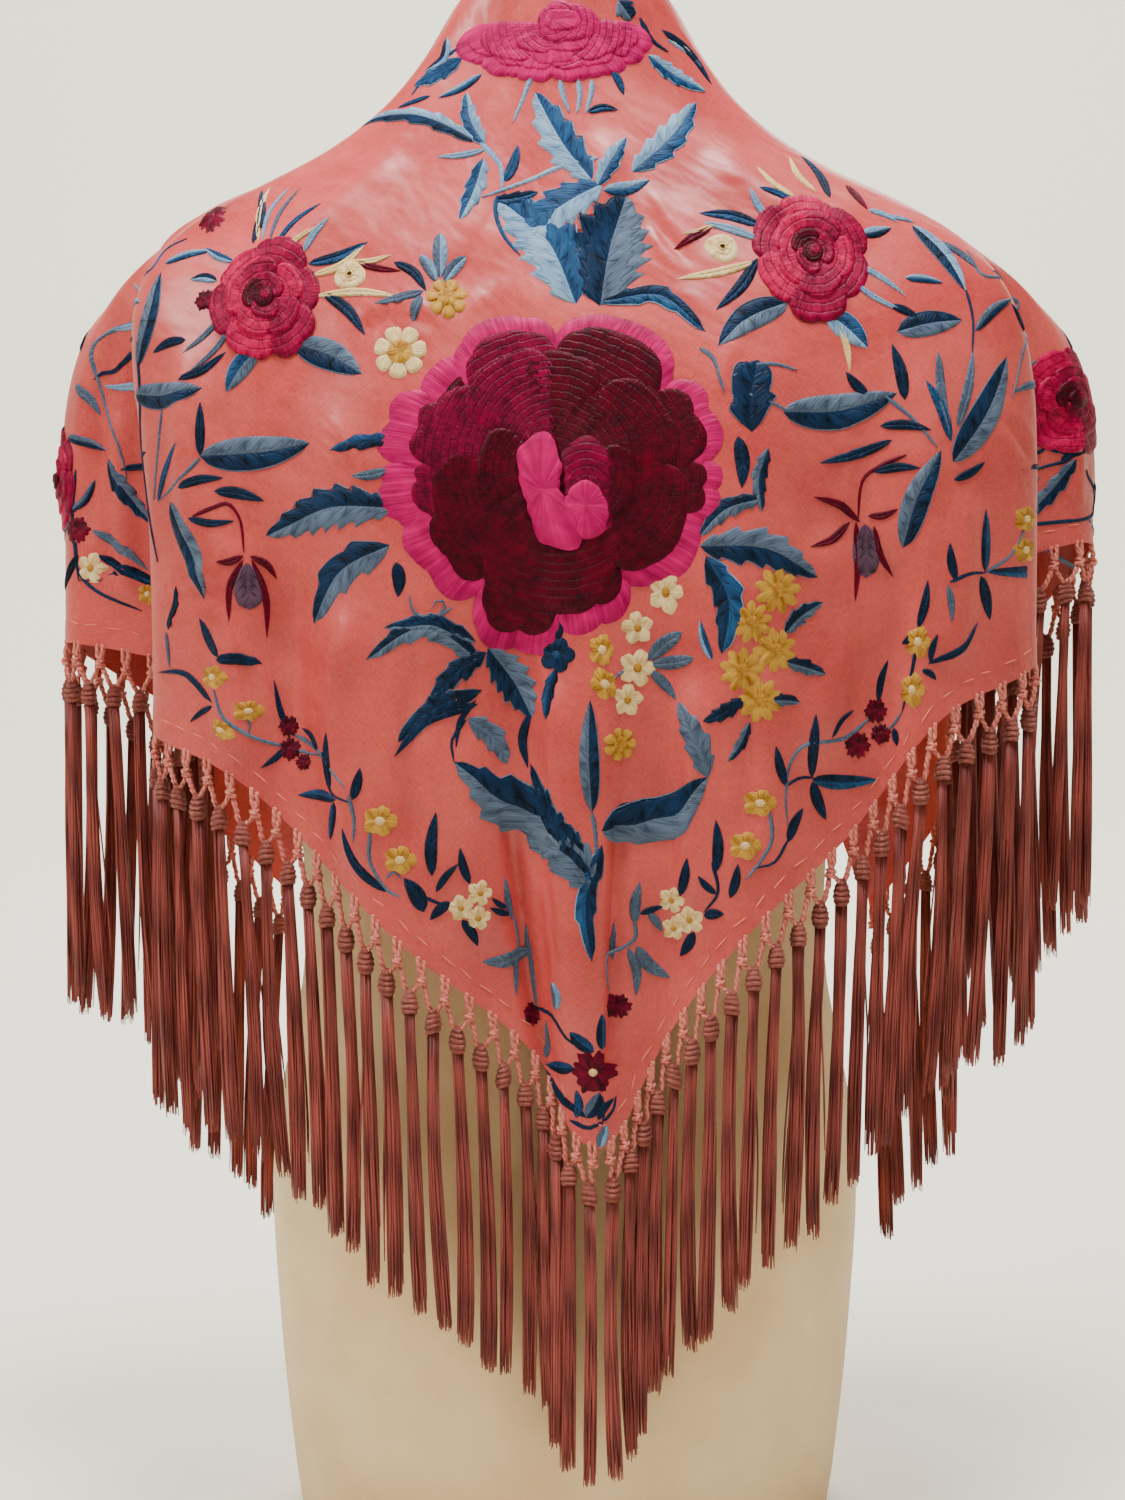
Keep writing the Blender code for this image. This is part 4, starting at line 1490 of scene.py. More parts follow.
@dataclass
class Tassel:
    """One tassel as it is tied: a wound head over a bundle of fine threads, hanging from the origin."""

    head_high: float = 0.0134
    barrel_radius: float = 0.0021
    barrel_swell: float = 1.55
    windings: tuple[tuple[float, float, float], ...] = (
        (-0.0014, 0.0013, 20.0), (-0.0037, 0.0023, 16.0), (-0.0061, 0.0030, 19.0), (-0.0086, 0.0033, 15.0),
        (-0.0110, 0.0028, 18.0),
    )
    winding_thick: float = 0.00145
    threads: int = 46
    thread_radius: float = 0.00058
    thread_steps: int = 7
    length: float = 0.157
    skirt_tuck: float = 0.0015
    bundle_top: float = 0.0025
    bundle_end: float = 0.0036
    flatness: float = 0.78

    def head(self, floss: bpy.types.Material) -> list[bpy.types.Object]:
        """Models the head: a barrel swelled from a cylinder, with five slanting windings round it.

        Args:
            floss: its finish.

        Returns:
            The barrel and the windings.
        """
        deselect_everything()
        middle = (0, 0, -self.head_high / 2)
        bpy.ops.mesh.primitive_cylinder_add(
            vertices=12, radius=self.barrel_radius, depth=self.head_high, location=middle
        )
        barrel = bpy.context.object
        bpy.ops.object.mode_set(mode="EDIT")
        bpy.ops.mesh.select_all(action="SELECT")
        bpy.ops.mesh.bisect(plane_co=middle, plane_no=(0, 0, 1))
        bpy.ops.transform.resize(value=(self.barrel_swell, self.barrel_swell, 1.0), center_override=middle)
        bpy.ops.mesh.select_all(action="SELECT")
        bpy.ops.mesh.bevel(offset=0.0007, segments=1)
        bpy.ops.object.mode_set(mode="OBJECT")
        made = [barrel]
        for height, radius, tilt in self.windings:
            bpy.ops.mesh.primitive_torus_add(
                major_segments=14, minor_segments=6, major_radius=radius, minor_radius=self.winding_thick,
                location=(0, 0, height), rotation=(math.radians(tilt), math.radians(tilt * 0.6), 0),
            )
            made.append(bpy.context.object)
        for thing in made:
            settle_in_mesh(thing)
            thing.data.uv_layers[0].name = "threads"
            thing.data.materials.append(floss)
            thing.data.shade_smooth()
        return made

    def thread(self, chance: random.Random, number: int, phase: float) -> list[Vector]:
        """Lets one thread fall.

        Args:
            chance: what its own length, turn and wave are drawn from.
            number: which thread it is.
            phase: how the whole bundle leans.

        Returns:
            The points that it goes through.
        """
        angle = math.tau * (number + chance.uniform(-0.35, 0.35)) / self.threads
        inner = math.sqrt(chance.uniform(0.55, 1.0))
        end = math.sqrt(chance.uniform(0.25, 1.15))
        turn = chance.uniform(-0.55, 0.55)
        length = self.length * chance.uniform(0.955, 1.012)
        if chance.random() < 0.07:
            length *= chance.uniform(0.72, 0.93)
            end *= 1.5
        wave, start = chance.uniform(0.0, 0.0007), chance.uniform(0, math.tau)
        path = []
        for step in range(self.thread_steps + 1):
            share = step / self.thread_steps
            opened = ease(share * 1.3)
            spread = self.bundle_top * inner * (1 - opened) + self.bundle_end * end * opened
            spot = angle + turn * share
            swing = wave * math.sin(start + 5.0 * share)
            lean = 0.0009 * math.sin(phase + 3.1 * share) * share
            path.append(Vector((
                math.cos(spot) * spread + swing + lean,
                math.sin(spot) * spread * self.flatness + swing * 0.6,
                self.skirt_tuck - self.head_high - length * share,
            )))
        return path

    def skirt(self, silk: bpy.types.Material, seed: int) -> bpy.types.Object:
        """Lays the hanging threads round a softer core.

        Args:
            silk: their finish.
            seed: makes each model's threads fall their own way.

        Returns:
            The hanging part.
        """
        chance = random.Random(seed)
        spool = Spool()
        top = self.skirt_tuck - self.head_high
        core = [Vector((0, 0, top - self.length * 0.93 * k / 5)) for k in range(6)]
        thick = [self.bundle_top * 0.9, *(self.bundle_end * 0.62,) * 4, self.bundle_end * 0.3]
        spool.run(core, thick, 8, self.flatness)
        phase = chance.uniform(0, math.tau)
        radii = [self.thread_radius] * self.thread_steps + [self.thread_radius * 0.5]
        for number in range(self.threads):
            spool.run(self.thread(chance, number, phase), radii, 3)
        return spool.build("tassel_skirt", silk)

    def build(self, floss: bpy.types.Material, silk: bpy.types.Material, seed: int) -> bpy.types.Object:
        """Makes one whole tassel, to be copied along the hem.

        Args:
            floss: the head's finish.
            silk: the hanging threads' finish.
            seed: makes each model's threads fall their own way.

        Returns:
            The tassel, with how far it reaches down kept as its "reach".
        """
        model = join_as(f"tassel_model_{seed}", [*self.head(floss), self.skirt(silk, seed)])
        model["reach"] = self.length + self.head_high - self.skirt_tuck
        return model


HemPlace = tuple[Vector, Vector, Vector]
DOWN = Vector((0, 0, -1))


@dataclass
class Fringe:
    """One leg's fringe: short cords off the hem, link knots, a row of open net and the tassels."""

    side: Side
    pitch_share: float = 0.11
    knot_depth: float = 0.0098
    knot_turns: tuple[Point, ...] = ((0.5, 0.0016), (-0.6, 0.0021), (0.25, 0.0017))
    knot_thick: float = 0.0011
    head_depth: float = 0.0192
    head_kept: float = 0.0142
    drop: float = 0.176
    front_longer: float = 0.022
    uneven: float = 0.005
    cord_radius: float = 0.0014
    lean: float = math.radians(2.6)
    clear: float = 0.0046

    def frames(self, hem: Sequence[Vector]) -> list[HemPlace]:
        """The place, outward direction and level run at each column of the hem.

        Args:
            hem: the hem's points from the left corner to the right one.

        Returns:
            One of each from the tip to this leg's corner.
        """
        tip = (len(hem) - 1) // 2
        leg = list(hem[tip:]) if self.side is Side.RIGHT else list(hem[tip::-1])
        made = []
        for k, point in enumerate(leg):
            run = leg[min(k + 1, len(leg) - 1)] - leg[max(k - 1, 0)]
            level = Vector((run.x, run.y, 0.0)).normalized()
            outward = Vector((run.y, -run.x, 0.0)).normalized() * self.side.value
            made.append((point, outward, level))
        return made

    @staticmethod
    def between(frames: Sequence[HemPlace], place: float) -> HemPlace:
        """The frame at any place along the leg."""
        start = min(int(place), len(frames) - 2)
        return tuple(low.lerp(high, place - start) for low, high in zip(frames[start], frames[start + 1]))

    def net(self, frames: Sequence[HemPlace], silk: bpy.types.Material) -> bpy.types.Object:
        """Ties the cords and link knots between the hem and the tassels' heads.

        Args:
            frames: places along the leg.
            silk: their finish.

        Returns:
            The net.
        """
        chance = random.Random(40 + self.side.value)
        spool = Spool()
        count = len(frames) - 1
        knots = []
        for k in range(count + 1):
            place = min(max(k, 0.38), count - 0.18)
            point, outward, level = self.between(frames, place)
            loose = chance.uniform(-0.0008, 0.0008)
            knot = point + DOWN * (self.knot_depth + loose) + level * chance.uniform(-0.0006, 0.0006)
            knots.append(knot)
            for way in (-1, 1):
                start = self.between(frames, min(max(place + way * self.pitch_share, 0.05), count - 0.02))[0]
                bow = outward * 0.0008 + level * (way * 0.0005)
                cord = [
                    start - DOWN * 0.0018, start + DOWN * 0.0012, (start + knot) / 2 + bow,
                    knot - DOWN * 0.001 - level * (way * 0.0006), knot + DOWN * 0.0008 - level * (way * 0.001),
                ]
                spool.run(cord, [self.cord_radius] * 5)
            for turn, (tilt, radius) in enumerate(self.knot_turns):
                ring = []
                for step in range(10):
                    angle = math.tau * step / 9
                    spot = knot + level * (math.cos(angle) * radius) + outward * (math.sin(angle) * radius)
                    lift = DOWN * (tilt * math.cos(angle) * radius + (turn - 1) * 0.0011)
                    ring.append(spot + lift)
                spool.run(ring, [self.knot_thick] * 10)
        for k in range(count):
            point, outward, level = self.between(frames, k + 0.5)
            head = point + DOWN * self.head_depth
            for knot, way in ((knots[k], -1), (knots[k + 1], 1)):
                sag = DOWN * chance.uniform(0.0006, 0.0022) + outward * chance.uniform(-0.0004, 0.001)
                start = knot - level * (way * 0.0009) + DOWN * 0.0008
                middle = (start + head) / 2 + sag + level * (way * 0.0004)
                for twin in (-1, 1):
                    aside = (outward + level * way) * (twin * 0.0004)
                    cord = [
                        start, (start + middle) / 2 + aside + sag * 0.5, middle - aside,
                        (middle + head) / 2 + level * (way * 0.0013) + aside,
                        head + DOWN * 0.0022 + level * (way * 0.0007),
                    ]
                    spool.run(cord, [self.cord_radius * 0.8] * 5)
        return spool.build(f"net_{self.side.name.lower()}", silk)

    def hang(
        self, frames: Sequence[HemPlace], models: Sequence[bpy.types.Object], skin: BVHTree
    ) -> bpy.types.Object:
        """Copies the tassels along the hem, each to its own length and fall.

        Args:
            frames: places along the leg.
            models: the tassels that are copied.
            skin: the dress form's surface, which they stay off.

        Returns:
            The joined tassels.
        """
        chance = random.Random(70 + self.side.value)
        copies = []
        head, reach = self.head_kept, models[0]["reach"]
        for k in range(len(frames) - 1):
            point, outward, level = self.between(frames, k + 0.5)
            top = point + DOWN * self.head_depth
            end = self.drop + self.front_longer * min(1.0, k / 24) - self.head_depth
            end += self.uneven * math.sin(2.4 * k) * math.cos(1.1 * k)
            model = models[(k * 5 + chance.randrange(2)) % len(models)]
            copy = link_piece("tassel", model.data.copy())
            spots = np.empty(len(copy.data.vertices) * 3)
            copy.data.vertices.foreach_get("co", spots)
            spots = spots.reshape(-1, 3)
            depth = -spots[:, 2]
            below = np.maximum(depth - head, 0.0)
            share = below / (reach - head)
            turn = chance.uniform(-0.9, 0.9)
            if chance.random() < 0.5:
                cos, sin = math.cos(turn), math.sin(turn)
                across = spots[:, 0] * cos - spots[:, 1] * sin
                out = spots[:, 0] * sin + spots[:, 1] * cos
            else:
                across, out = -spots[:, 0], -spots[:, 1]
            inward = math.tan(self.lean * min(1.0, k / 18) + math.radians(chance.uniform(-0.7, 0.7)))
            sway = chance.uniform(-0.002, 0.002) * np.sin(share * math.pi)
            needed = []
            for part in range(9):
                spot = top + DOWN * (end * part / 8) - level * (inward * end * part / 8)
                near, facing, _, _ = skin.find_nearest(spot, 0.03)
                needed.append(0.0 if near is None else max(0.0, self.clear - (spot - near).dot(facing)))
            push = np.interp(share, np.linspace(0, 1, 9), np.maximum.accumulate(needed))
            placed = (
                np.array(top)
                + across[:, None] * np.array(level)
                + out[:, None] * np.array(outward)
                + (-inward * below + sway)[:, None] * np.array(level)
                + push[:, None] * np.array(outward)
            )
            placed[:, 2] = top.z - np.where(depth > head, head + share * (end - head), depth)
            copy.data.vertices.foreach_set("co", placed.ravel())
            copies.append(copy)
        return join_as(f"tassels_{self.side.name.lower()}", copies)

    def build(
        self, hem: Sequence[Vector], models: Sequence[bpy.types.Object], skin: BVHTree, silk: bpy.types.Material
    ) -> list[bpy.types.Object]:
        """Makes the net and the tassels of this leg.

        Args:
            hem: the hem's points.
            models: the tassels that are copied.
            skin: the dress form's surface.
            silk: the net's finish.

        Returns:
            The two pieces.
        """
        frames = self.frames(hem)
        made = [self.net(frames, silk), self.hang(frames, models, skin)]
        for piece in made:
            face_outwards(piece, 1e-7)
            piece.data.shade_smooth()
            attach(piece, "root")
            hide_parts(f"fringe_{self.side.name.lower()}")
        return made


# ---- embroidery -----------------------------------------------------------------------------------
FLOSSES: dict[str, Floss] = {
    "N": Floss("navy_floss", paint(2, 11, 24), paint(20, 50, 86)),
    "O": Floss("ocean_floss", paint(8, 34, 66), paint(42, 88, 132)),
    "S": Floss("slate_floss", paint(50, 62, 80), paint(98, 114, 136)),
    "K": Floss("sky_floss", paint(80, 110, 142), paint(142, 172, 198)),
    "M": Floss("maroon_floss", paint(34, 0, 8), paint(92, 0, 26), 0.0008, 0.0042, 0.35, 0.22),
    # W is a lighter copy of the maroon: on the great rose's upper left petals it is painted sheen, where the
    # threads catch the light; in the hearts, the small flowers and one leaf it is the thread's own colour.
    "W": Floss("wine_and_maroon_sheen_floss", paint(58, 0, 20), paint(128, 0, 52), 0.0008, 0.0040, 0.35, 0.28),
    "G": Floss("magenta_floss", paint(126, 0, 58), paint(204, 0, 104), 0.0009, 0.0300, 0.5, 0.08),
    "P": Floss("pink_floss", paint(118, 0, 54), paint(196, 0, 96), 0.0009, 0.0034, 0.25, 0.45),
    "R": Floss("crimson_floss", paint(72, 0, 24), paint(158, 0, 62), 0.0008, 0.0044, 0.35, 0.3),
    # B is a brighter copy of the crimson, laid on alternate petals of the garden roses as painted highlight.
    "B": Floss("crimson_highlight_floss", paint(104, 0, 34), paint(200, 0, 78), 0.0008, 0.0044, 0.35, 0.3),
    "C": Floss("claret_floss", paint(44, 0, 10), paint(116, 0, 40)),
    "Y": Floss("gold_floss", paint(140, 90, 22), paint(206, 158, 66)),
    "E": Floss("cream_floss", paint(186, 150, 92), paint(238, 214, 162)),
    "V": Floss("mauve_floss", paint(50, 30, 48), paint(108, 78, 98)),
    "H": Floss("hem_floss", paint(206, 96, 84), paint(244, 150, 136)),
}
STEP = 0.0005  # one pixel of the photograph, at the shawl's distance


class Bloom(Enum):
    """The kinds of small flower."""

    PANSY = "pansy"
    STAR = "star"
    CREAM = "cream"
    DAISY = "daisy"
    NAVY = "navy"
    CLARET = "claret"
    BUD = "bud"


class Leaf(NamedTuple):
    """A leaf or slim petal: base and tip, width in pixel steps, bow to its left, floss and teeth."""

    base_across: float
    base_down: float
    tip_across: float
    tip_down: float
    width: float
    bow: float
    hues: str
    teeth: int = 0
    blunt: float = 0.0


class Stem(NamedTuple):
    """A stem: its width in pixel steps, its floss and the points it goes through."""

    width: float
    hue: str
    points: tuple[Point, ...]


class Blossom(NamedTuple):
    """A small flower: its kind, middle, radius in pixel steps, turn in degrees and flattening."""

    kind: Bloom
    across: float
    down: float
    radius: float
    turn: float = 0.0
    squash: float = 1.0


class Petal(NamedTuple):
    """A petal of a rose: aim and half spread in degrees, reach, floss, rim, rows and its apex."""

    aim: float
    half: float
    reach: float
    hue: str
    base: float
    rim: float = 0.0
    rows: float = 8.0
    apex: Point = (0.0, 0.0)
    dome: float = 0.0009
    inner: float = 0.05


class Bed:
    """A flat patch laid on the cloth at one place, on which a motif is drawn in pixel steps."""

    def __init__(self, chart: Chart, view: View, across: float, down: float) -> None:
        """Finds the place and its directions, so that shapes keep their seen size.

        Args:
            chart: the outside of the cloth.
            view: what the place is seen from.
            across: the place from the left.
            down: the place from the top, or its height.
        """
        self.centre = chart.look(view, across, down)
        level = Vector((0, 0, 1)).cross(Vector(view.value))
        self.normal = chart.facing(self.centre, 0.012)
        self.right = (level - self.normal * self.normal.dot(level)).normalized()
        self.up = self.normal.cross(self.right)
        grain = STEP
        if view is View.PHOTO:
            grain = STEP * (self.centre - chart.stand.eye()).length / chart.stand.distance
        self.steps = (grain / max(abs(self.right.dot(level)), 0.5), grain / max(abs(self.up.z), 0.5))

    def place(self, across: float, up: float) -> Vector:
        """The point that many steps right and up of the centre, before it is laid on the cloth."""
        return self.centre + self.right * (across * self.steps[0]) + self.up * (up * self.steps[1])

    def polar(self, apex: Point, angle: float, reach: float) -> Vector:
        """The point that many steps from an apex, at an angle in radians."""
        return self.place(apex[0] + math.cos(angle) * reach, apex[1] + math.sin(angle) * reach)


class Stitch(NamedTuple):
    """A point near the cloth, how far it is to stand off it, and its place on the thread map."""

    place: Vector
    lift: float
    thread: Point


class Needlework:
    """Stitches gathered for one piece: raised patches laid on the cloth."""

    sunk: float = 0.0002
    edged_from: float = 0.011
    edge_width: float = 0.0009
    ridge_profile: tuple[Point, ...] = ((-1, 0.0), (-0.5, 0.75), (0, 1.0), (0.5, 0.75), (1, 0.0))
    leaf_profile: tuple[Point, ...] = ((0.0, 0.45), (0.14, 0.86), (0.4, 1.0), (0.7, 0.9), (0.9, 0.6), (1.0, 0.0))

    def __init__(self, chart: Chart) -> None:
        """Takes the chart of the cloth's outside."""
        self.chart = chart
        self.points: list[Vector] = []
        self.threads: list[Point] = []
        self.faces: list[tuple[int, ...]] = []
        self.hues: list[str] = []

    def patch(self, rows: Sequence[Sequence[Stitch]], hue: str) -> None:
        """Lays one grid of stitches on the cloth.

        Args:
            rows: its rows.
            hue: the floss's letter.
        """
        first, wide = len(self.points), len(rows[0])
        for row in rows:
            for place, lift, thread in row:
                near, facing, _, _ = self.chart.tree.find_nearest(place)
                self.points.append(near + facing * lift)
                self.threads.append(thread)
        middle = first + (len(rows) // 2 - 1) * wide + wide // 2 - 1
        a, b, d = (self.points[middle + step] for step in (0, 1, wide))
        outward = (b - a).cross(d - a).dot(self.chart.out(a)) > 0
        for i in range(len(rows) - 1):
            for j in range(wide - 1):
                low = first + i * wide + j
                face = (low, low + 1, low + wide + 1, low + wide)
                self.faces.append(face if outward else face[::-1])
                self.hues.append(hue)

    @staticmethod
    def along(path: Sequence[Vector], t: float) -> tuple[Vector, Vector]:
        """Follows a path.

        Args:
            path: the points that it goes through.
            t: how far along it, as a share.

        Returns:
            The point there, and the way the path runs there.
        """
        last = len(path) - 1
        ahead = spline(path, min(t * last + 0.05, last))
        back = spline(path, max(t * last - 0.05, 0))
        return spline(path, t * last), (ahead - back).normalized()

    def ridge(
        self, path: Sequence[Vector], width: float, hue: str, lift: float = 0.0007, taper: float = 0.5
    ) -> None:
        """One cord-like line of stitches, as of a stem.

        Args:
            path: the points it follows.
            width: its width in metres.
            hue: the floss's letter.
            lift: its height.
            taper: its width at the far end as a share.
        """
        length = path_length(path)
        steps = max(4, int(length / 0.0035))
        rows = []
        for k in range(steps + 1):
            t = k / steps
            point, way = self.along(path, t)
            side = self.chart.out(point).cross(way).normalized()
            half = width / 2 * (1 - (1 - taper) * t) * min(1.0, 0.35 + 6 * t, 0.35 + 6 * (1 - t))
            rows.append([
                Stitch(
                    point + side * (half * s), lift * h if h else -self.sunk,
                    ((t * length + half * s) * 0.7, half * s * 1.4 + t * 0.001),
                )
                for s, h in self.ridge_profile
            ])
        self.patch(rows, hue)

    def leaf(self, path: Sequence[Vector], leaf: Leaf, lift: float = 0.0009) -> None:
        """A leaf or slim petal in two halves of satin stitch that slant off its midrib.

        Args:
            path: its midrib.
            leaf: its width, teeth, bluntness and two flosses.
            lift: its height.
        """
        length, width = path_length(path), leaf.width * STEP
        steps = max(9, leaf.teeth * 5, int(length / 0.0032))
        for way_out, hue in ((1, leaf.hues[0]), (-1, leaf.hues[-1])):
            rows = []
            for k in range(steps + 1):
                t = k / steps
                point, way = self.along(path, t)
                side = self.chart.out(point).cross(way).normalized() * way_out
                swell = (t ** 0.62) * (1 - t) ** (0.85 - 0.5 * leaf.blunt) / 0.465
                bite = 1.0
                if leaf.teeth:
                    bite = 0.74 + 0.42 * ((t * leaf.teeth + (0.3 if way_out > 0 else 0.0)) % 1.0) ** 1.4
                half = max(width / 2 * min(swell, 1.15) * bite, 0.00015)
                forward = way * (half * 0.22 if leaf.teeth else 0.0)
                high = lift * min(1.0, half / (width * 0.2))
                rows.append([
                    Stitch(
                        point + side * (half * s) + forward * s, high * h - (self.sunk if s == 1.0 else 0),
                        ((t * length - half * s) * 0.72, half * s * 1.35),
                    )
                    for s, h in self.leaf_profile
                ])
            self.patch(rows, hue)
            if hue in "NO" and width > self.edged_from:
                edge = [row[-1].place for row in rows[1:-1]]
                self.ridge(edge, self.edge_width, "K" if hue == "O" else "S", 0.0006, 0.8)

    def blob(
        self, bed: Bed, outline: Outline, hue: str, inner: float = 0.0, rings: int = 5, spokes: int = 40,
        base: float = 0.0, dome: float = 0.0008, pitch: float = 0.0,
    ) -> None:
        """A closed patch round a centre, with its threads laid outwards.

        Args:
            bed: where it lies.
            outline: its radius in steps at each angle.
            hue: the floss's letter.
            inner: the share of the radius where it starts.
            rings: rows of faces outwards.
            spokes: faces round it.
            base: how far its edge lies off the cloth.
            dome: how far its middle stands over its edge.
            pitch: the width in steps of its rows of stitches, or 0.
        """
        rows = []
        for i in range(spokes + 1):
            angle = math.tau * i / spokes
            radius = outline(angle)
            row = []
            for j in range(rings + 1):
                share = inner + (1 - inner) * (j / rings)
                reach = radius * share
                edge = min(1.0, (1 - share) * radius * 0.45)
                high = base + dome * math.sqrt(max(edge, 0.0)) - (self.sunk if j == rings else 0.0)
                if pitch and j < rings:
                    high += 0.00022 * ((reach + 2.2 * math.sin(angle * 7 + share * 5)) / pitch % 1.0)
                thread = (angle * outline(0.0) * 0.0003, reach * STEP)
                row.append(Stitch(bed.polar((0.0, 0.0), angle, reach), high, thread))
            rows.append(row)
        self.patch(rows, hue)

    def fan(
        self, bed: Bed, aim: float, half: float, outline: Outline, hue: str, inner: float, base: float,
        dome: float, pitch: float, apex: Point = (0.0, 0.0), grid: tuple[int, int] = (30, 22),
    ) -> None:
        """A petal that spreads from its apex to a scalloped outer edge.

        Args:
            bed: where it lies.
            aim: the angle it points at, in degrees.
            half: half its spread, in degrees.
            outline: its radius in steps at each angle in radians.
            hue: the floss's letter.
            inner: the share of the radius where it starts.
            base: how far its edge lies off the cloth.
            dome: how far its middle stands over its edge.
            pitch: the width in steps of its rows of stitches, or 0.
            apex: where it spreads from, in steps.
            grid: faces across and outwards.
        """
        rows = []
        for i in range(grid[0] + 1):
            across = 2 * i / grid[0] - 1
            angle = math.radians(aim + half * across)
            radius = outline(angle) * (1 - 0.30 * abs(across) ** 4)
            row = []
            for j in range(grid[1] + 1):
                share = inner + (1 - inner) * (j / grid[1])
                reach = radius * share
                rim = min(1.0, (1 - share) * radius * 0.30) * min(1.0, (1 - abs(across)) * half * 0.10)
                high = base * (0.25 + 0.75 * share) + dome * math.sqrt(max(rim, 0.0))
                high -= 0.00025 if j == grid[1] or i in (0, grid[0]) else 0.0
                if pitch and 0 < i < grid[0] and j < grid[1]:
                    wave = 3.0 * math.sin(across * 5.5 + aim) + 1.3 * math.sin(across * 17 + share * 6)
                    high += 0.00030 * ((reach + wave) / pitch % 1.0) * min(1.0, rim * 3)
                thread = (math.radians(half * across) * radius * 0.00035, reach * STEP)
                row.append(Stitch(bed.polar(apex, angle, reach), high, thread))
            rows.append(row)
        self.patch(rows, hue)

    def build(self, name: str) -> bpy.types.Object:
        """Makes the piece with one material for each floss that it uses.

        Args:
            name: its name.

        Returns:
            The piece, riding with the cloth.
        """
        mesh = bpy.data.meshes.new(name)
        mesh.from_pydata([tuple(point) for point in self.points], [], self.faces)
        map_points(mesh, "threads", np.array(self.threads))
        used = sorted(set(self.hues))
        for hue in used:
            mesh.materials.append(bpy.data.materials.get(FLOSSES[hue].name) or FLOSSES[hue].build())
        mesh.polygons.foreach_set("material_index", [used.index(hue) for hue in self.hues])
        mesh.shade_smooth()
        piece = link_piece(name, mesh)
        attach(piece, "root")
        return piece


@dataclass(frozen=True)
class Spray:
    """One group of leaves, stems and small flowers, all placed in the same view."""

    name: str
    view: View
    leaves: tuple[Leaf, ...] = ()
    stems: tuple[Stem, ...] = ()
    blossoms: tuple[Blossom, ...] = ()

    def mirrored(self, view: View) -> "Spray":
        """Makes the same group on the other half of the shawl, for places given in millimetres.

        Args:
            view: what its places are seen from.

        Returns:
            The mirrored group.
        """
        flip = -1 if self.view is View.FRONT else 1
        turned = tuple(
            leaf._replace(
                base_across=leaf.base_across * flip, tip_across=leaf.tip_across * flip,
                bow=-leaf.bow, hues=leaf.hues[::-1],
            )
            for leaf in self.leaves
        )
        stems = tuple(stem._replace(points=tuple((x * flip, y) for x, y in stem.points)) for stem in self.stems)
        blossoms = tuple(
            flower._replace(across=flower.across * flip, turn=-flower.turn) for flower in self.blossoms
        )
        return Spray(self.name + "_left", view, turned, stems, blossoms)

    def stitch(self, work: Needlework) -> None:
        """Lays the group on the cloth, its stems first.

        Args:
            work: where the stitches are gathered.
        """
        chart = work.chart
        for stem in self.stems:
            work.ridge([chart.look(self.view, *point) for point in stem.points], stem.width * STEP, stem.hue)
        for leaf in self.leaves:
            base = chart.look(self.view, leaf.base_across, leaf.base_down)
            tip = chart.look(self.view, leaf.tip_across, leaf.tip_down)
            middle = base.lerp(tip, 0.5)
            if leaf.bow:
                middle = middle + chart.facing(middle).cross(tip - base) * leaf.bow
            work.leaf([base, middle, tip], leaf)
        for flower in self.blossoms:
            self.flower(work, flower)

    def flower(self, work: Needlework, flower: Blossom) -> None:
        """Lays one small flower.

        Args:
            work: where the stitches are gathered.
            flower: which one.
        """
        bed = Bed(work.chart, self.view, flower.across, flower.down)
        size, turn = flower.radius, math.radians(flower.turn)

        def lobed(count: int, depth: float, ragged: float = 0.0, share: float = 1.0) -> Outline:
            """An outline with that many lobes."""
            def radius(angle: float) -> float:
                """The radius at an angle."""
                spot = angle - turn
                wave = abs(math.cos(spot * count / 2)) ** 0.7 - 0.6
                torn = ragged * math.sin(spot * (count * 2 + 1) + size)
                oval = 1 / math.hypot(math.cos(spot), math.sin(spot) / flower.squash)
                return size * share * oval * (1 + depth * wave + torn)
            return radius

        def heart(hue: str, share: float, base: float, dome: float, spokes: int, rings: int = 3) -> None:
            """Lays the round middle."""
            work.blob(bed, lobed(1, 0.0, share=share), hue, base=base, dome=dome, spokes=spokes, rings=rings)

        match flower.kind:
            case Bloom.STAR:
                work.blob(bed, lobed(9, 0.55), "Y", dome=0.0008, spokes=54, rings=4)
                heart("Y", 0.36, 0.0009, 0.0007, 16)
            case Bloom.PANSY:
                work.blob(bed, lobed(5, 0.3, 0.03), "Y", dome=0.0009, spokes=48, rings=4, pitch=4.5)
                heart("E", 0.34, 0.0010, 0.0005, 16)
            case Bloom.CREAM:
                work.blob(bed, lobed(5, 0.42, 0.04), "E", dome=0.0009, spokes=40, rings=4)
                heart("Y", 0.3, 0.0009, 0.0005, 14)
            case Bloom.DAISY:
                hue = "E" if flower.squash >= 1 else "Y"
                for k in range(7):
                    aim, base = flower.turn + k * 360 / 7, 0.0001 * (k % 2)
                    work.fan(bed, aim, 27, lambda angle: size, hue, 0.3, base, 0.001, 0.0, grid=(10, 7))
                work.blob(bed, lobed(1, 0.0, share=0.5), "Y", base=0.0008, spokes=24, rings=4, pitch=3.0)
            case Bloom.CLARET:
                work.blob(bed, lobed(6, 0.25, 0.12), "C", dome=0.0010, spokes=44, rings=4)
                heart("E" if size > 16 else "W", 0.22, 0.0010, 0.0005, 12, 2)
            case Bloom.NAVY:
                work.blob(bed, lobed(5, 0.35), "N", dome=0.0010, spokes=44, rings=4)
                work.blob(bed, lobed(5, 0.2, share=0.3), "O", base=0.0010, dome=0.0005, spokes=20, rings=2)
            case Bloom.BUD:
                for k, share in enumerate((1.0, 0.66, 0.34)):
                    outline = lobed(1, 0.0, 0.05, share)
                    work.blob(bed, outline, "E", inner=0.45, base=0.0003 * k, dome=0.0012, spokes=28, rings=4)
                heart("Y", 0.9, 0.0001, 0.0003, 20)


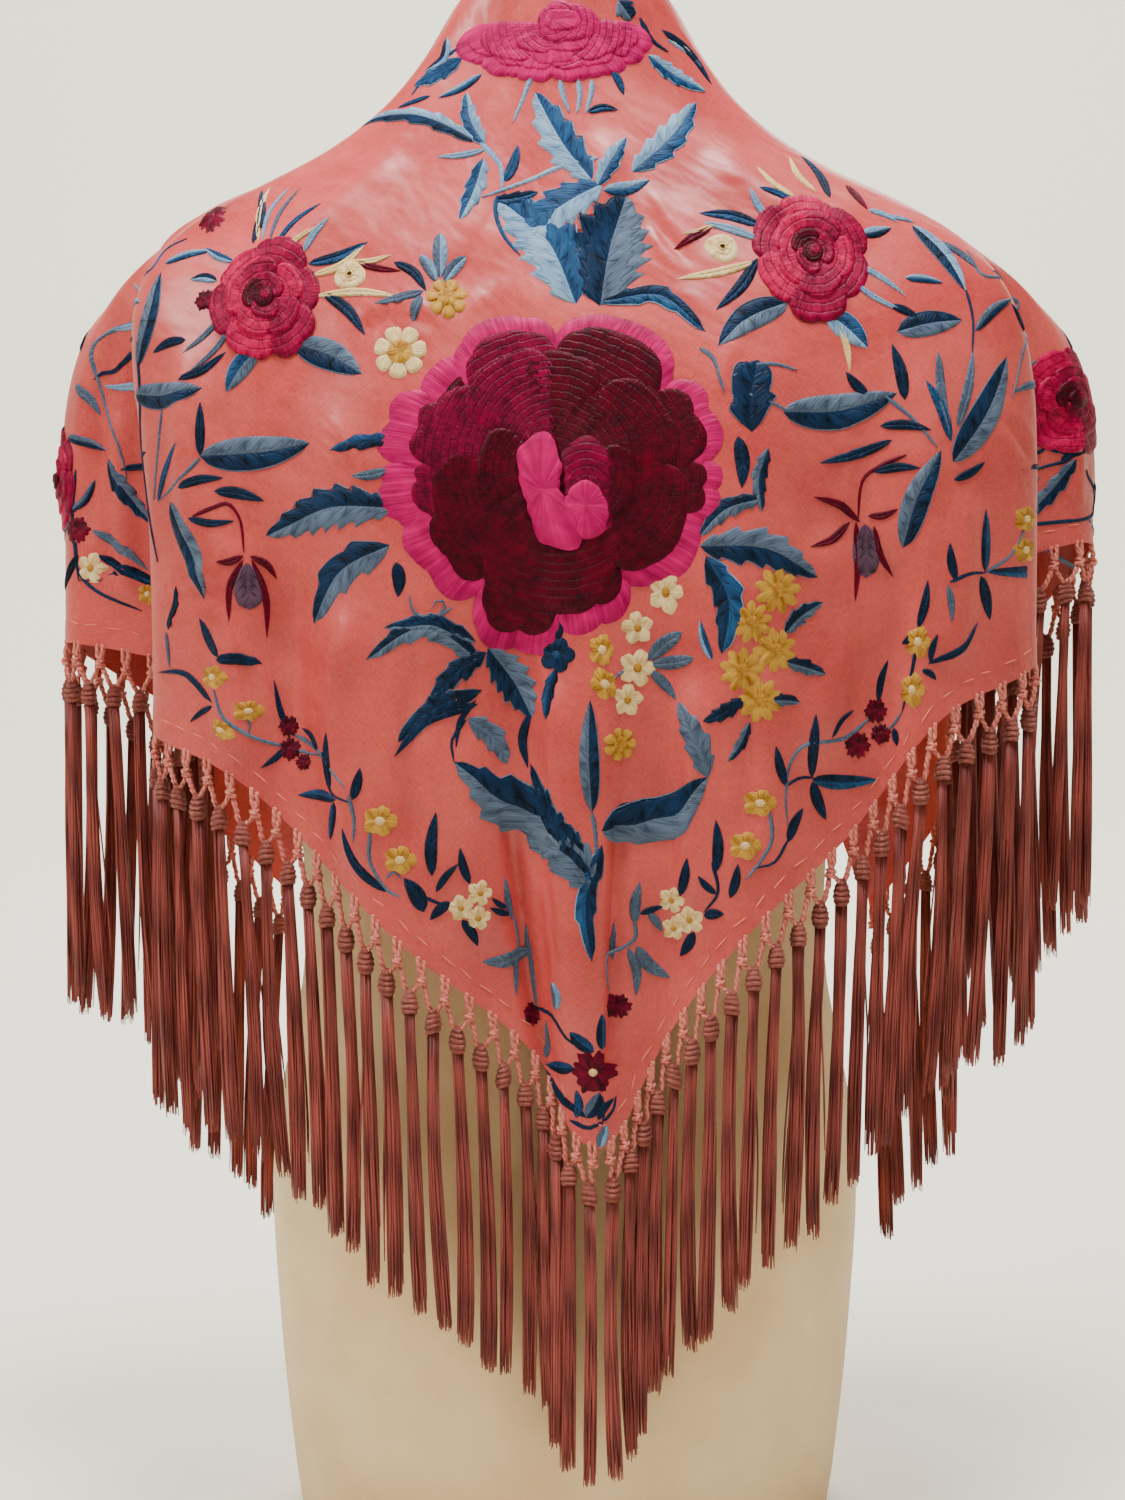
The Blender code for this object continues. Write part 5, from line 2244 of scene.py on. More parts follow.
@dataclass(frozen=True)
class Rose:
    """A large flower of overlapping petals with scalloped edges."""

    name: str
    view: View
    across: float
    down: float
    petals: tuple[Petal, ...]
    squash: float = 1.0
    turn: float = 0.0
    ground: str = "M"
    ground_reach: float = 0.0
    heart: tuple[tuple[str, float, float, tuple[float, ...], float], ...] = ()

    def oval(self, angle: float, reach: float) -> float:
        """A radius flattened upwards."""
        return reach / math.hypot(math.cos(angle), math.sin(angle) / self.squash)

    def stitch(self, work: Needlework) -> None:
        """Lays the ground, the petals from the outside in, and the heart.

        Args:
            work: where the stitches are gathered.
        """
        bed = Bed(work.chart, self.view, self.across, self.down)
        if self.ground_reach:
            ground = lambda angle: self.oval(angle, self.ground_reach)
            work.blob(bed, ground, self.ground, dome=0.0006, spokes=48, rings=8, pitch=9.0)
        for number, petal in enumerate(self.petals):
            self.petal(work, bed, petal, 3.0 + number % 3)
        for hue, x, y, reaches, base in self.heart:

            def rounded(angle: float, reaches: tuple[float, ...] = reaches) -> float:
                """The radius of a soft shape given at equal steps round it."""
                place = angle / math.tau % 1 * len(reaches)
                low = int(place)
                here, after = reaches[low % len(reaches)], reaches[(low + 1) % len(reaches)]
                return here + (after - here) * ease(place - low)

            up = -y if self.view is View.PHOTO else y
            middle = Bed(work.chart, self.view, self.across + x, self.down + up)
            work.blob(middle, rounded, hue, base=base, dome=0.0011, spokes=60, rings=7)

    def petal(self, work: Needlework, bed: Bed, petal: Petal, ripple: float) -> None:
        """Lays one petal, with its magenta rim under it where it has one.

        Args:
            work: where the stitches are gathered.
            bed: where the rose lies.
            petal: which petal.
            ripple: how many scallops its edge has.
        """
        def edge(angle: float) -> float:
            """The petal's scalloped edge."""
            across = (math.degrees(angle) - petal.aim - self.turn) / petal.half
            wave = 0.045 * (abs(math.cos(across * ripple * 0.8 + petal.aim)) ** 0.7 - 0.6)
            return self.oval(angle, petal.reach) * (1 + wave)

        aim, half, outline, base, grid = petal.aim + self.turn, petal.half, edge, petal.base, (30, 22)
        if petal.rim:
            work.fan(bed, aim, half, edge, "G", 0.62, base, 0.0010, 0.0, petal.apex, (36, 8))
            half, base, grid = half * (0.985 - petal.rim * 0.25), base + 0.0004, (34, 26)
            outline = lambda angle: edge(angle) * (1 - petal.rim)
        work.fan(bed, aim, half, outline, petal.hue, petal.inner, base, petal.dome, petal.rows, petal.apex, grid)


PANSY, STAR, CREAM, DAISY, NAVY, CLARET, BUD = Bloom


def leaves(*rows: tuple) -> tuple[Leaf, ...]:
    """Reads rows of a leaf table."""
    return tuple(Leaf(*row) for row in rows)


def stems(*rows: tuple) -> tuple[Stem, ...]:
    """Reads rows of a stem table: the width, the floss and the points."""
    return tuple(Stem(width, hue, tuple(points)) for width, hue, *points in rows)


def blossoms(*rows: tuple) -> tuple[Blossom, ...]:
    """Reads rows of a table of small flowers."""
    return tuple(Blossom(*row) for row in rows)


def petals(*rows: tuple) -> tuple[Petal, ...]:
    """Reads rows of a petal table."""
    return tuple(Petal(*row) for row in rows)


GREAT_ROSE = Rose(
    "great_rose", View.PHOTO, 555, 470,
    petals(
        # The W petals on the upper left are painted sheen: a lighter copy of the maroon where the light catches
        # the threads; the M petals are the maroon itself.
        (141, 20, 158, "M", 0.0000, 0.14), (165, 19, 170, "W", 0.0003, 0.12),
        (-170, 17, 170, "W", 0.0001, 0.13), (-143, 24, 168, "M", 0.0004, 0.12),
        (-74, 24, 164, "M", 0.0002, 0.11), (-106, 19, 184, "M", 0.0007, 0.08),
        (-34, 28, 156, "M", 0.0002, 0.11), (-8, 16, 163, "M", 0.0004, 0.08), (20, 24, 166, "M", 0.0006, 0.08),
        (63, 30, 170, "M", 0.0008, 0.07), (113, 27, 164, "W", 0.0010, 0.08),
        (158, 34, 128, "W", 0.0009, 0.0, 9.0, (-8, 2)), (-160, 36, 124, "M", 0.0011, 0.0, 10.0, (-6, -4)),
        (-98, 46, 132, "M", 0.0012, 0.0, 12.0, (6, -10)), (-28, 40, 118, "M", 0.0013, 0.0, 10.0, (14, -6)),
        (30, 38, 112, "M", 0.0014, 0.0, 10.0, (14, 8)), (84, 36, 92, "M", 0.0015, 0.0, 9.0, (0, 30)),
        (125, 40, 108, "W", 0.0016, 0.0, 8.0, (-4, 22)), (172, 40, 74, "M", 0.0018, 0.0, 8.0, (-6, 0)),
        (-8, 50, 62, "M", 0.0019, 0.0, 7.0, (22, -4)),
    ),
    ground_reach=132,
    heart=(
        ("W", 32, -20, (24, 28, 44, 54, 46, 26, 22, 25, 42, 50, 44, 28), 0.0021),
        ("G", 30, -36, (24, 22, 25, 28, 25, 22, 21, 24, 30, 33, 32, 28), 0.0025),
        ("G", -10, -20, (15, 18, 32, 58, 50, 30, 23, 21, 29, 54, 68, 24), 0.0029),
    ),
)
NAPE_ROSE = Rose(
    "nape_rose", View.PHOTO, 553, 22,
    petals(
        (-166, 18, 106, "G", 0.0000, 0.14), (-14, 18, 108, "P", 0.0001, 0.14),
        (-138, 22, 104, "P", 0.0002, 0.16), (-42, 22, 106, "G", 0.0003, 0.16),
        (-108, 24, 104, "G", 0.0005, 0.16), (-72, 24, 106, "P", 0.0006, 0.16),
        (-150, 34, 80, "P", 0.0010, 0.0, 6.0), (-30, 34, 80, "P", 0.0010, 0.0, 6.0),
        (-90, 36, 78, "G", 0.0012, 0.0, 6.0), (-60, 40, 58, "G", 0.0014, 0.0, 6.0),
        (-120, 40, 58, "P", 0.0014, 0.0, 6.0),
    ),
    squash=0.56,
    heart=(
        ("P", 0, -2, (46, 24, 17, 15, 17, 24), 0.0017), ("G", 0, 0, (29, 13, 9, 8, 9, 13), 0.0021),
    ),
)


def garden_rose(name: str, view: View, across: float, down: float, size: float, turn: float) -> Rose:
    """A crimson rose with six outer and five inner petals round a dark swirl.

    Args:
        name: its name.
        view: what its place is looked at from.
        across: its middle from the left.
        down: its middle from the top, or its height.
        size: its radius in pixel steps.
        turn: how far it is turned, in degrees.

    Returns:
        The rose.
    """
    # The B petals are painted highlight: a brighter copy of the crimson R.
    outer = tuple(
        Petal(60 * k, 38, size * (1.0 + 0.07 * (k % 2)), hue, 0.0002 * k, rows=6.0)
        for k, hue in enumerate("RRBRBR")
    )
    inner = tuple(
        Petal(72 * k + 20, 42, size * (0.72 - 0.06 * (k % 2)), hue, 0.0012 + 0.0002 * k, rows=5.0)
        for k, hue in enumerate("BRBBR")
    )
    deep = tuple(
        Petal(
            100 * k + 50, 62, size * (0.44 - 0.04 * k), hue, 0.0022 + 0.0002 * k, rows=4.0,
            apex=(size * 0.05 * (k - 1), 0),
        )
        for k, hue in enumerate("RMR")
    )
    swirl = (
        ("M", 0, 0, (size * 0.18, size * 0.2), 0.0027),
        ("R", size * 0.04, size * 0.03, (size * 0.1, size * 0.12), 0.0032),
    )
    return Rose(name, view, across, down, outer + inner + deep, 1.12, turn, "R", size * 0.7, swirl)


ROSES = (
    GREAT_ROSE,
    NAPE_ROSE,
    garden_rose("left_rose", View.PHOTO, 265, 298, 54, 10),
    garden_rose("right_rose", View.PHOTO, 812, 254, 57, -25),
    garden_rose("right_arm_rose", View.RIGHT, 8, 604, 52, 0),
    garden_rose("left_arm_rose", View.LEFT, 30, 560, 50, 40),
    garden_rose("right_front_rose", View.FRONT, 160, 556, 66, 15),
    garden_rose("left_front_rose", View.FRONT, -156, 560, 66, -35),
)
SPRAYS = (
    Spray("top_leaves", View.PHOTO, leaves(
        (592, 180, 535, 92, 54, 0.04, "KO", 5), (632, 172, 696, 102, 42, -0.05, "KO", 5),
        (597, 187, 626, 137, 26, 0.02, "KO", 4), (603, 190, 650, 180, 20, -0.06, "KO"),
        (602, 184, 520, 240, 62, -0.05, "KO", 6), (478, 142, 360, 128, 26, -0.10, "NK", 5),
        (485, 145, 466, 92, 26, 0.08, "OK", 4), (485, 150, 437, 157, 10, 0.05, "KK"),
        (484, 158, 460, 220, 28, 0.03, "KO", 4), (505, 182, 518, 145, 15, -0.05, "OO"),
        (495, 200, 538, 192, 20, -0.05, "NO", 3), (576, 304, 496, 196, 84, -0.10, "KO", 6),
        (600, 306, 626, 196, 112, 0.03, "NS", 7), (598, 302, 706, 332, 26, 0.22, "NO", 3),
        (462, 58, 414, 86, 26, 0.05, "OO", 4), (482, 74, 438, 98, 12, 0.05, "OK"),
        (648, 55, 706, 92, 26, -0.06, "KO", 5), (588, 112, 618, 110, 12, 0.12, "NO"),
        (612, 70, 624, 95, 11, 0.05, "OO"), (436, 28, 412, 60, 16, 0.3, "KN"),
        (662, 30, 712, 85, 14, 0.12, "NN"), (430, 96, 398, 108, 7, 0.0, "OO"),
        (618, 0, 632, 20, 30, 0.0, "NS", 2),
    ), stems(
        (8, "K", (598, 158), (565, 165), (530, 180), (482, 197)), (8, "K", (480, 142), (500, 165), (502, 190)),
        (7, "O", (497, 196), (496, 215), (504, 236), (520, 255)), (7, "K", (532, 74), (524, 96), (513, 122)),
        (8, "K", (560, 80), (563, 95), (569, 112)), (8, "K", (578, 80), (580, 95), (577, 113)),
        (8, "K", (592, 80), (591, 95), (586, 113)), (8, "N", (640, 18), (652, 40), (668, 52)),
        (6, "K", (668, 40), (690, 55), (705, 72)), (6, "O", (458, 48), (430, 70), (412, 95)),
        (5, "E", (672, 42), (688, 50), (698, 62)),
    )),
    Spray("left_rose_leaves", View.PHOTO, leaves(
        (258, 240, 270, 188, 9, 0.05, "EE"), (253, 244, 262, 190, 13, -0.06, "NN"),
        (262, 240, 290, 187, 6, 0.10, "KK"), (270, 240, 300, 188, 6, 0.08, "SS"),
        (276, 244, 321, 203, 8, 0.08, "OO"), (284, 250, 319, 226, 7, 0.05, "EE"),
        (303, 252, 329, 217, 10, 0.05, "KK"), (308, 264, 368, 242, 16, -0.06, "NO"),
        (312, 276, 366, 243, 12, -0.12, "EE"), (342, 262, 392, 255, 10, -0.08, "EE"),
        (316, 296, 400, 297, 12, 0.06, "EE"), (354, 262, 401, 271, 10, -0.04, "CC"),
        (394, 262, 426, 291, 14, 0.12, "NN"), (424, 291, 374, 304, 14, 0.02, "SS"),
        (421, 295, 413, 322, 14, -0.05, "SS"), (322, 292, 365, 335, 16, 0.08, "NN"),
        (217, 281, 190, 280, 14, -0.10, "KN"), (258, 348, 226, 392, 28, -0.04, "SO"),
        (294, 343, 362, 374, 40, 0.05, "SN"), (226, 313, 183, 353, 9, 0.05, "SS"),
        (236, 320, 188, 373, 8, 0.08, "SS"), (186, 340, 153, 353, 14, -0.08, "NN"),
        (178, 380, 226, 352, 12, -0.08, "NN"), (234, 262, 205, 248, 12, 0.05, "KO"),
        (440, 278, 440, 233, 15, 0.0, "SK", 0, 0.8), (436, 282, 420, 255, 13, -0.05, "SK", 0, 0.6),
        (444, 282, 466, 256, 14, 0.05, "SK", 0, 0.6),
    ), (), blossoms(
        (BUD, 350, 275, 16, 10, 0.9), (CLARET, 213, 217, 13, 20), (DAISY, 400, 352, 27, 8),
        (DAISY, 447, 298, 21, 20, 0.96), (CLARET, 205, 300, 10, 0),
    )),
    Spray("left_shoulder_leaves", View.PHOTO, leaves(
        (138, 368, 161, 272, 30, -0.06, "SN"), (112, 290, 134, 283, 10, 0.1, "KK"),
        (136, 300, 107, 331, 12, 0.06, "KK"), (165, 264, 212, 251, 13, 0.05, "KO"),
        (76, 384, 101, 416, 14, 0.08, "SS"), (68, 437, 106, 451, 14, 0.05, "SN"),
        (80, 332, 93, 380, 12, -0.05, "NN"), (104, 386, 136, 399, 11, 0.05, "KK"),
        (136, 394, 202, 388, 34, -0.05, "SN"), (200, 456, 200, 402, 14, 0.0, "NN"),
        (200, 456, 310, 443, 44, -0.03, "SN"), (158, 502, 176, 442, 11, 0.06, "OO"),
        (178, 488, 223, 478, 13, 0.06, "NN"), (214, 491, 264, 501, 16, 0.05, "NN"),
        (188, 518, 234, 521, 11, -0.08, "NN"), (170, 502, 204, 600, 34, 0.06, "SN"),
        (243, 556, 216, 562, 10, 0.1, "CC"), (250, 556, 277, 579, 10, 0.12, "CC"),
        (243, 560, 229, 622, 10, -0.12, "CC"), (252, 560, 267, 638, 10, 0.08, "CC"),
        (247, 563, 250, 610, 30, 0.0, "VV", 0, 0.8), (92, 530, 149, 571, 14, 0.06, "SS"),
        (95, 480, 70, 515, 12, 0.1, "NS"), (146, 452, 120, 470, 12, 0.05, "NN"),
    ), stems(
        (5, "O", (135, 300), (148, 272), (166, 250), (187, 239)),
        (6, "S", (97, 288), (98, 340), (104, 400), (118, 445), (127, 477)),
        (8, "N", (137, 342), (140, 395), (142, 450), (148, 505), (158, 562)),
        (6, "S", (200, 458), (182, 476), (160, 500)), (6, "S", (162, 410), (158, 450), (154, 500)),
        (6, "C", (193, 516), (212, 508), (228, 504), (240, 520), (244, 552)),
        (7, "N", (76, 542), (78, 570), (98, 592), (142, 611)),
    ), blossoms(
        (CLARET, 76, 530, 13, 0), (CREAM, 91, 568, 14, 0), (PANSY, 148, 594, 10, 0),
    )),
    Spray("rose_left_leaves", View.PHOTO, leaves(
        (398, 440, 330, 450, 22, -0.04, "NO", 3), (394, 508, 266, 536, 58, -0.10, "SN", 7),
        (390, 545, 314, 624, 50, -0.14, "SN", 3), (396, 562, 398, 597, 18, 0.06, "NN"),
        (388, 470, 352, 476, 14, 0.06, "SS"),
    ), stems(
        (5, "S", (452, 608), (432, 618), (414, 612), (409, 595)),
        (4, "S", (438, 616), (446, 604), (438, 600), (432, 608)),
    )),
    Spray("right_rose_leaves", View.PHOTO, leaves(
        (830, 198, 800, 155, 14, -0.08, "NN"), (816, 192, 789, 157, 11, 0.10, "EE"),
        (796, 198, 757, 167, 11, 0.08, "EE"), (792, 200, 759, 187, 11, -0.05, "OO"),
        (768, 218, 750, 187, 11, 0.06, "KK"), (762, 226, 699, 213, 17, -0.08, "ON"),
        (760, 240, 702, 222, 13, -0.04, "KK"), (756, 262, 677, 279, 13, 0.04, "EE"),
        (712, 227, 674, 249, 11, 0.0, "CC"), (714, 225, 682, 234, 7, 0.05, "EE"),
        (758, 258, 716, 310, 17, 0.06, "NN"), (862, 235, 891, 228, 19, 0.0, "KN"),
        (788, 302, 718, 346, 38, -0.08, "SN"), (826, 312, 868, 348, 34, 0.03, "OK"),
        (846, 185, 879, 186, 13, 0.0, "WC"), (868, 210, 906, 204, 12, 0.10, "KK"),
        (893, 196, 926, 199, 9, 0.05, "KK"), (905, 278, 943, 283, 13, 0.04, "KO"),
        (897, 332, 962, 320, 34, 0.02, "NS"), (922, 205, 966, 292, 30, 0.06, "KN"),
        (890, 305, 920, 319, 12, 0.04, "NN"), (850, 262, 906, 296, 9, 0.05, "KK"),
        (848, 278, 906, 313, 8, -0.05, "KK"), (838, 322, 850, 372, 10, 0.05, "EE"),
    ), stems(
        (5, "N", (966, 290), (973, 320), (972, 352)),
    ), blossoms(
        (BUD, 722, 248, 17, -10, 0.85),
    )),
    Spray("right_shoulder_leaves", View.PHOTO, leaves(
        (952, 225, 992, 256, 14, 0.05, "SS"), (1018, 302, 1021, 244, 14, 0.04, "SS"),
        (975, 331, 1011, 299, 15, 0.05, "SN"), (1024, 332, 1038, 289, 12, -0.04, "NN"),
        (1014, 392, 1041, 359, 13, -0.04, "SS"), (953, 462, 1007, 357, 44, -0.05, "NS"),
        (957, 427, 973, 350, 15, -0.03, "SS"), (905, 400, 892, 344, 17, -0.04, "NN"),
        (783, 412, 897, 393, 46, -0.06, "SN"), (951, 441, 926, 380, 16, -0.05, "OO"),
        (880, 426, 931, 430, 14, 0.06, "NN"), (892, 440, 820, 463, 14, 0.04, "NN"),
        (874, 472, 920, 468, 13, 0.06, "NN"), (954, 480, 985, 462, 12, -0.05, "NN"),
        (903, 548, 941, 450, 34, 0.05, "SN"), (860, 522, 814, 497, 11, -0.10, "CC"),
        (850, 522, 810, 547, 11, 0.10, "CC"), (856, 522, 855, 602, 11, 0.04, "CC"),
        (868, 516, 898, 509, 10, -0.10, "CC"), (874, 526, 893, 577, 10, -0.08, "CC"),
        (865, 524, 866, 578, 30, 0.0, "VV", 0, 0.8), (938, 352, 952, 442, 14, -0.05, "SS"),
        (1080, 418, 1059, 447, 15, 0.04, "SN"), (1060, 462, 1092, 440, 14, 0.05, "NN"),
        (868, 395, 846, 372, 14, 0.05, "NN"), (1046, 448, 1022, 470, 13, 0.04, "NN"),
    ), stems(
        (6, "S", (985, 228), (1004, 262), (1018, 302), (1026, 340), (1012, 397)),
        (6, "S", (885, 396), (912, 418), (937, 447)), (6, "C", (906, 455), (880, 466), (862, 482), (858, 520)),
        (7, "N", (1046, 448), (1070, 458), (1098, 480)),
    )),
    Spray("right_hip_leaves", View.PHOTO, leaves(
        (752, 432, 758, 360, 52, 0.06, "NN", 2, 0.5), (738, 436, 742, 488, 20, 0.05, "NN"),
        (768, 448, 762, 512, 22, -0.10, "NS", 4), (762, 498, 699, 537, 26, -0.12, "SN", 4),
        (700, 546, 818, 577, 50, 0.10, "SN", 6), (706, 556, 722, 654, 42, 0.16, "ON", 4),
        (985, 572, 986, 509, 18, 0.0, "NO"), (987, 572, 1044, 580, 20, 0.02, "NO"),
        (981, 576, 990, 620, 20, 0.02, "NN"), (956, 580, 950, 543, 13, 0.04, "NN"),
        (1036, 512, 1040, 477, 14, 0.05, "SS"), (948, 585, 952, 622, 10, 0.04, "SS"),
        (784, 634, 823, 602, 24, 0.05, "NS", 4), (786, 662, 826, 674, 22, 0.02, "NS", 3),
        (770, 700, 800, 702, 18, 0.03, "NS", 2), (744, 698, 703, 722, 22, 0.04, "NN", 4),
        (750, 722, 728, 762, 16, 0.05, "NS", 3), (712, 660, 700, 620, 12, 0.06, "KO"),
    ), stems(
        (7, "S", (700, 348), (714, 360), (724, 392)), (7, "S", (733, 376), (752, 366), (775, 364), (797, 370)),
        (6, "S", (742, 392), (770, 402), (790, 412)), (6, "N", (950, 582), (970, 574), (986, 573)),
        (5, "S", (986, 572), (1010, 556), (1024, 530)),
    ), blossoms(
        (PANSY, 1026, 519, 12, 0), (PANSY, 1025, 550, 12, 30), (STAR, 778, 590, 21, 5),
        (STAR, 752, 622, 19, 12), (STAR, 776, 650, 20, 22), (STAR, 742, 670, 20, 4), (STAR, 760, 700, 20, 17),
        (CREAM, 666, 592, 16, 0, 1.3), (CREAM, 637, 628, 15, 25), (PANSY, 602, 650, 13, 0, 1.2),
        (CREAM, 637, 668, 17, 0), (PANSY, 605, 684, 13, 40, 1.3), (CREAM, 627, 700, 15, 10),
        (DAISY, 620, 744, 17, 0, 0.95),
    )),
    Spray("under_rose_leaves", View.PHOTO, leaves(
        (476, 642, 384, 628, 26, -0.12, "SN", 4), (482, 662, 366, 660, 34, -0.30, "SN", 4),
        (482, 690, 398, 742, 26, -0.10, "NN", 2, 0.3), (478, 704, 394, 757, 16, -0.14, "NN"),
        (486, 652, 430, 700, 30, -0.06, "NN", 4), (488, 648, 532, 718, 50, 0.05, "SN", 6),
        (530, 712, 528, 768, 13, -0.12, "NN"), (476, 700, 456, 748, 8, -0.12, "NN"),
        (468, 718, 508, 764, 34, 0.10, "SS", 3), (558, 640, 560, 612, 14, 0.0, "NN"),
        (556, 668, 546, 720, 18, -0.06, "NO", 3), (592, 812, 590, 700, 26, 0.02, "SN"),
        (596, 890, 454, 762, 74, -0.04, "SN", 7), (596, 886, 525, 838, 52, -0.16, "SS", 5),
        (590, 866, 530, 764, 28, 0.06, "NN", 5), (601, 832, 708, 777, 56, -0.14, "NS"),
        (708, 778, 678, 702, 38, -0.05, "SS", 4), (602, 845, 592, 962, 28, -0.10, "NO", 3),
        (648, 660, 682, 632, 18, 0.04, "SS", 0, 0.4), (650, 664, 694, 658, 16, -0.04, "SS", 0, 0.4),
        (650, 670, 676, 700, 14, 0.04, "SS"),
    ), stems(
        (6, "S", (592, 812), (596, 840), (594, 870)), (5, "N", (466, 720), (452, 740), (454, 762)),
        (5, "S", (648, 665), (630, 668), (612, 680)),
    ), blossoms(
        (NAVY, 557, 655, 17),
    )),
    Spray("left_garland", View.PHOTO, leaves(
        (218, 657, 199, 618, 16, 0.05, "NN"), (216, 660, 262, 664, 16, 0.08, "NN"),
        (212, 703, 158, 672, 8, -0.15, "NN"), (208, 700, 183, 673, 9, -0.06, "NN"),
        (212, 706, 190, 722, 8, -0.04, "NN"), (290, 738, 274, 680, 8, 0.03, "NN"),
        (288, 745, 261, 768, 9, 0.05, "NN"), (330, 790, 326, 732, 15, 0.05, "NN"),
        (318, 752, 302, 728, 9, -0.12, "NN"), (352, 800, 360, 768, 14, -0.03, "NN"),
        (336, 800, 298, 795, 15, -0.04, "NO"), (334, 802, 330, 840, 14, 0.03, "NO"),
        (168, 630, 176, 586, 13, -0.03, "NN"), (166, 632, 170, 668, 7, 0.0, "SS"),
        (386, 892, 342, 828, 14, 0.16, "NN"), (432, 876, 436, 812, 17, 0.05, "NN"),
        (436, 892, 458, 864, 10, 0.05, "NN"), (470, 884, 460, 848, 12, 0.05, "NN"),
        (424, 912, 404, 878, 22, -0.06, "NN"), (450, 902, 430, 920, 14, -0.04, "NN"),
        (462, 920, 478, 946, 14, 0.05, "NN"), (512, 920, 505, 876, 13, 0.04, "SS"),
        (510, 914, 490, 908, 9, 0.05, "NN"), (506, 908, 492, 898, 8, 0.05, "NN"),
        (530, 948, 482, 962, 20, 0.10, "SS"), (516, 950, 516, 996, 9, 0.0, "SS"),
        (532, 960, 526, 924, 8, 0.05, "SS"),
    ), stems(
        (6, "S", (214, 690), (222, 716), (250, 736), (290, 748), (322, 757)),
        (6, "S", (295, 735), (322, 756), (345, 788)), (6, "S", (348, 795), (354, 820), (353, 842)),
        (6, "S", (370, 832), (370, 862), (385, 888), (400, 897)), (5, "N", (322, 752), (330, 790), (352, 804)),
        (5, "N", (420, 895), (440, 904), (455, 908)), (4, "S", (246, 716), (250, 726), (248, 735)),
        (6, "S", (514, 916), (518, 940), (518, 960)), (4, "S", (386, 878), (394, 872), (402, 880)),
        (5, "S", (530, 950), (534, 975), (537, 1006)),
    ), blossoms(
        (PANSY, 213, 677, 15, 0, 0.75), (PANSY, 248, 711, 16, 0, 0.62), (PANSY, 221, 730, 15, -20, 0.62),
        (PANSY, 380, 821, 17, 0, 0.85), (PANSY, 400, 860, 16, 0, 0.85), (CLARET, 289, 726, 10, 0),
        (CLARET, 290, 749, 11, 30), (CLARET, 304, 762, 8, 60), (CREAM, 480, 893, 12, 0),
        (CREAM, 461, 908, 12, 30), (CREAM, 478, 918, 12, 10),
    )),
    Spray("right_garland", View.PHOTO, leaves(
        (918, 628, 928, 580, 12, -0.04, "NN"), (914, 632, 902, 644, 10, 0.1, "NN"),
        (930, 662, 938, 634, 9, 0.05, "NN"), (928, 664, 978, 622, 10, -0.10, "NN"),
        (922, 670, 936, 680, 9, 0.1, "NN"), (878, 702, 888, 660, 10, 0.05, "NN"),
        (832, 738, 854, 710, 8, 0.12, "NN"), (812, 778, 816, 714, 16, 0.02, "NN"),
        (812, 780, 878, 780, 20, -0.04, "NO"), (812, 782, 826, 820, 18, -0.03, "NN"),
        (786, 786, 776, 746, 14, 0.03, "NN"), (788, 842, 803, 808, 15, 0.05, "NN"),
        (894, 728, 897, 746, 9, 0.0, "NN"), (716, 872, 716, 820, 15, -0.04, "NN"),
        (716, 894, 698, 876, 10, 0.06, "NN"), (730, 898, 738, 864, 13, -0.05, "NN"),
        (680, 896, 687, 858, 14, -0.04, "NN"), (704, 916, 724, 914, 14, 0.05, "NN"),
        (694, 932, 680, 956, 15, 0.05, "NN"), (635, 924, 640, 882, 16, 0.05, "SS"),
        (648, 912, 662, 932, 11, 0.05, "SS"), (640, 914, 664, 906, 9, 0.0, "NN"),
        (612, 960, 614, 922, 9, 0.0, "SS"), (636, 946, 670, 978, 18, -0.10, "SS"),
        (628, 948, 636, 996, 14, 0.10, "SS"),
    ), stems(
        (5, "N", (916, 650), (910, 680), (902, 712)),
        (6, "S", (872, 716), (845, 738), (808, 744), (790, 765), (786, 800), (788, 826)),
        (5, "N", (786, 786), (800, 778), (814, 778)), (6, "S", (770, 812), (772, 840), (760, 862), (745, 880)),
        (5, "N", (788, 840), (775, 862), (755, 868)), (5, "N", (712, 862), (718, 892), (704, 912)),
        (4, "S", (902, 712), (890, 728), (872, 734)), (6, "S", (634, 920), (634, 940), (606, 960), (608, 990)),
    ), blossoms(
        (PANSY, 918, 642, 12, 0, 1.3), (PANSY, 912, 690, 12, 0, 1.4), (PANSY, 760, 803, 16, 0, 0.8),
        (PANSY, 745, 846, 16, 0, 0.85), (CLARET, 875, 711, 12, 0), (CLARET, 881, 734, 10, 20),
        (CLARET, 857, 745, 13, 50), (CREAM, 672, 900, 12, 0), (CREAM, 690, 920, 13, 30),
        (CREAM, 674, 928, 11, 10),
    )),
    Spray("tip_flower", View.PHOTO, leaves(
        (594, 1052, 570, 1032, 17, 0.04, "NO", 0, 0.3), (602, 1050, 602, 1014, 17, 0.0, "NO"),
        (574, 1068, 546, 1064, 17, 0.04, "NO"), (588, 1118, 544, 1068, 10, 0.10, "NN"),
        (576, 1118, 576, 1090, 13, -0.10, "OO"), (586, 1118, 600, 1092, 20, -0.05, "SN"),
        (598, 1120, 614, 1098, 10, 0.10, "NN"), (600, 1148, 606, 1124, 16, 0.0, "SK"),
        (556, 1010, 552, 982, 16, -0.12, "SK", 0, 0.3), (546, 1058, 546, 1020, 9, 0.0, "SS"),
    ), stems(
        (6, "N", (538, 1008), (552, 1016), (566, 1038), (582, 1048)),
        (5, "S", (537, 1006), (531, 970), (527, 935)),
        (6, "N", (570, 1120), (590, 1128), (612, 1112), (616, 1096)),
        (5, "N", (602, 1096), (604, 1112), (602, 1126)),
    ), blossoms(
        (CLARET, 593, 1072, 22, 0), (CLARET, 531, 1014, 11, 40), (CLARET, 618, 1006, 12, 0),
    )),
)
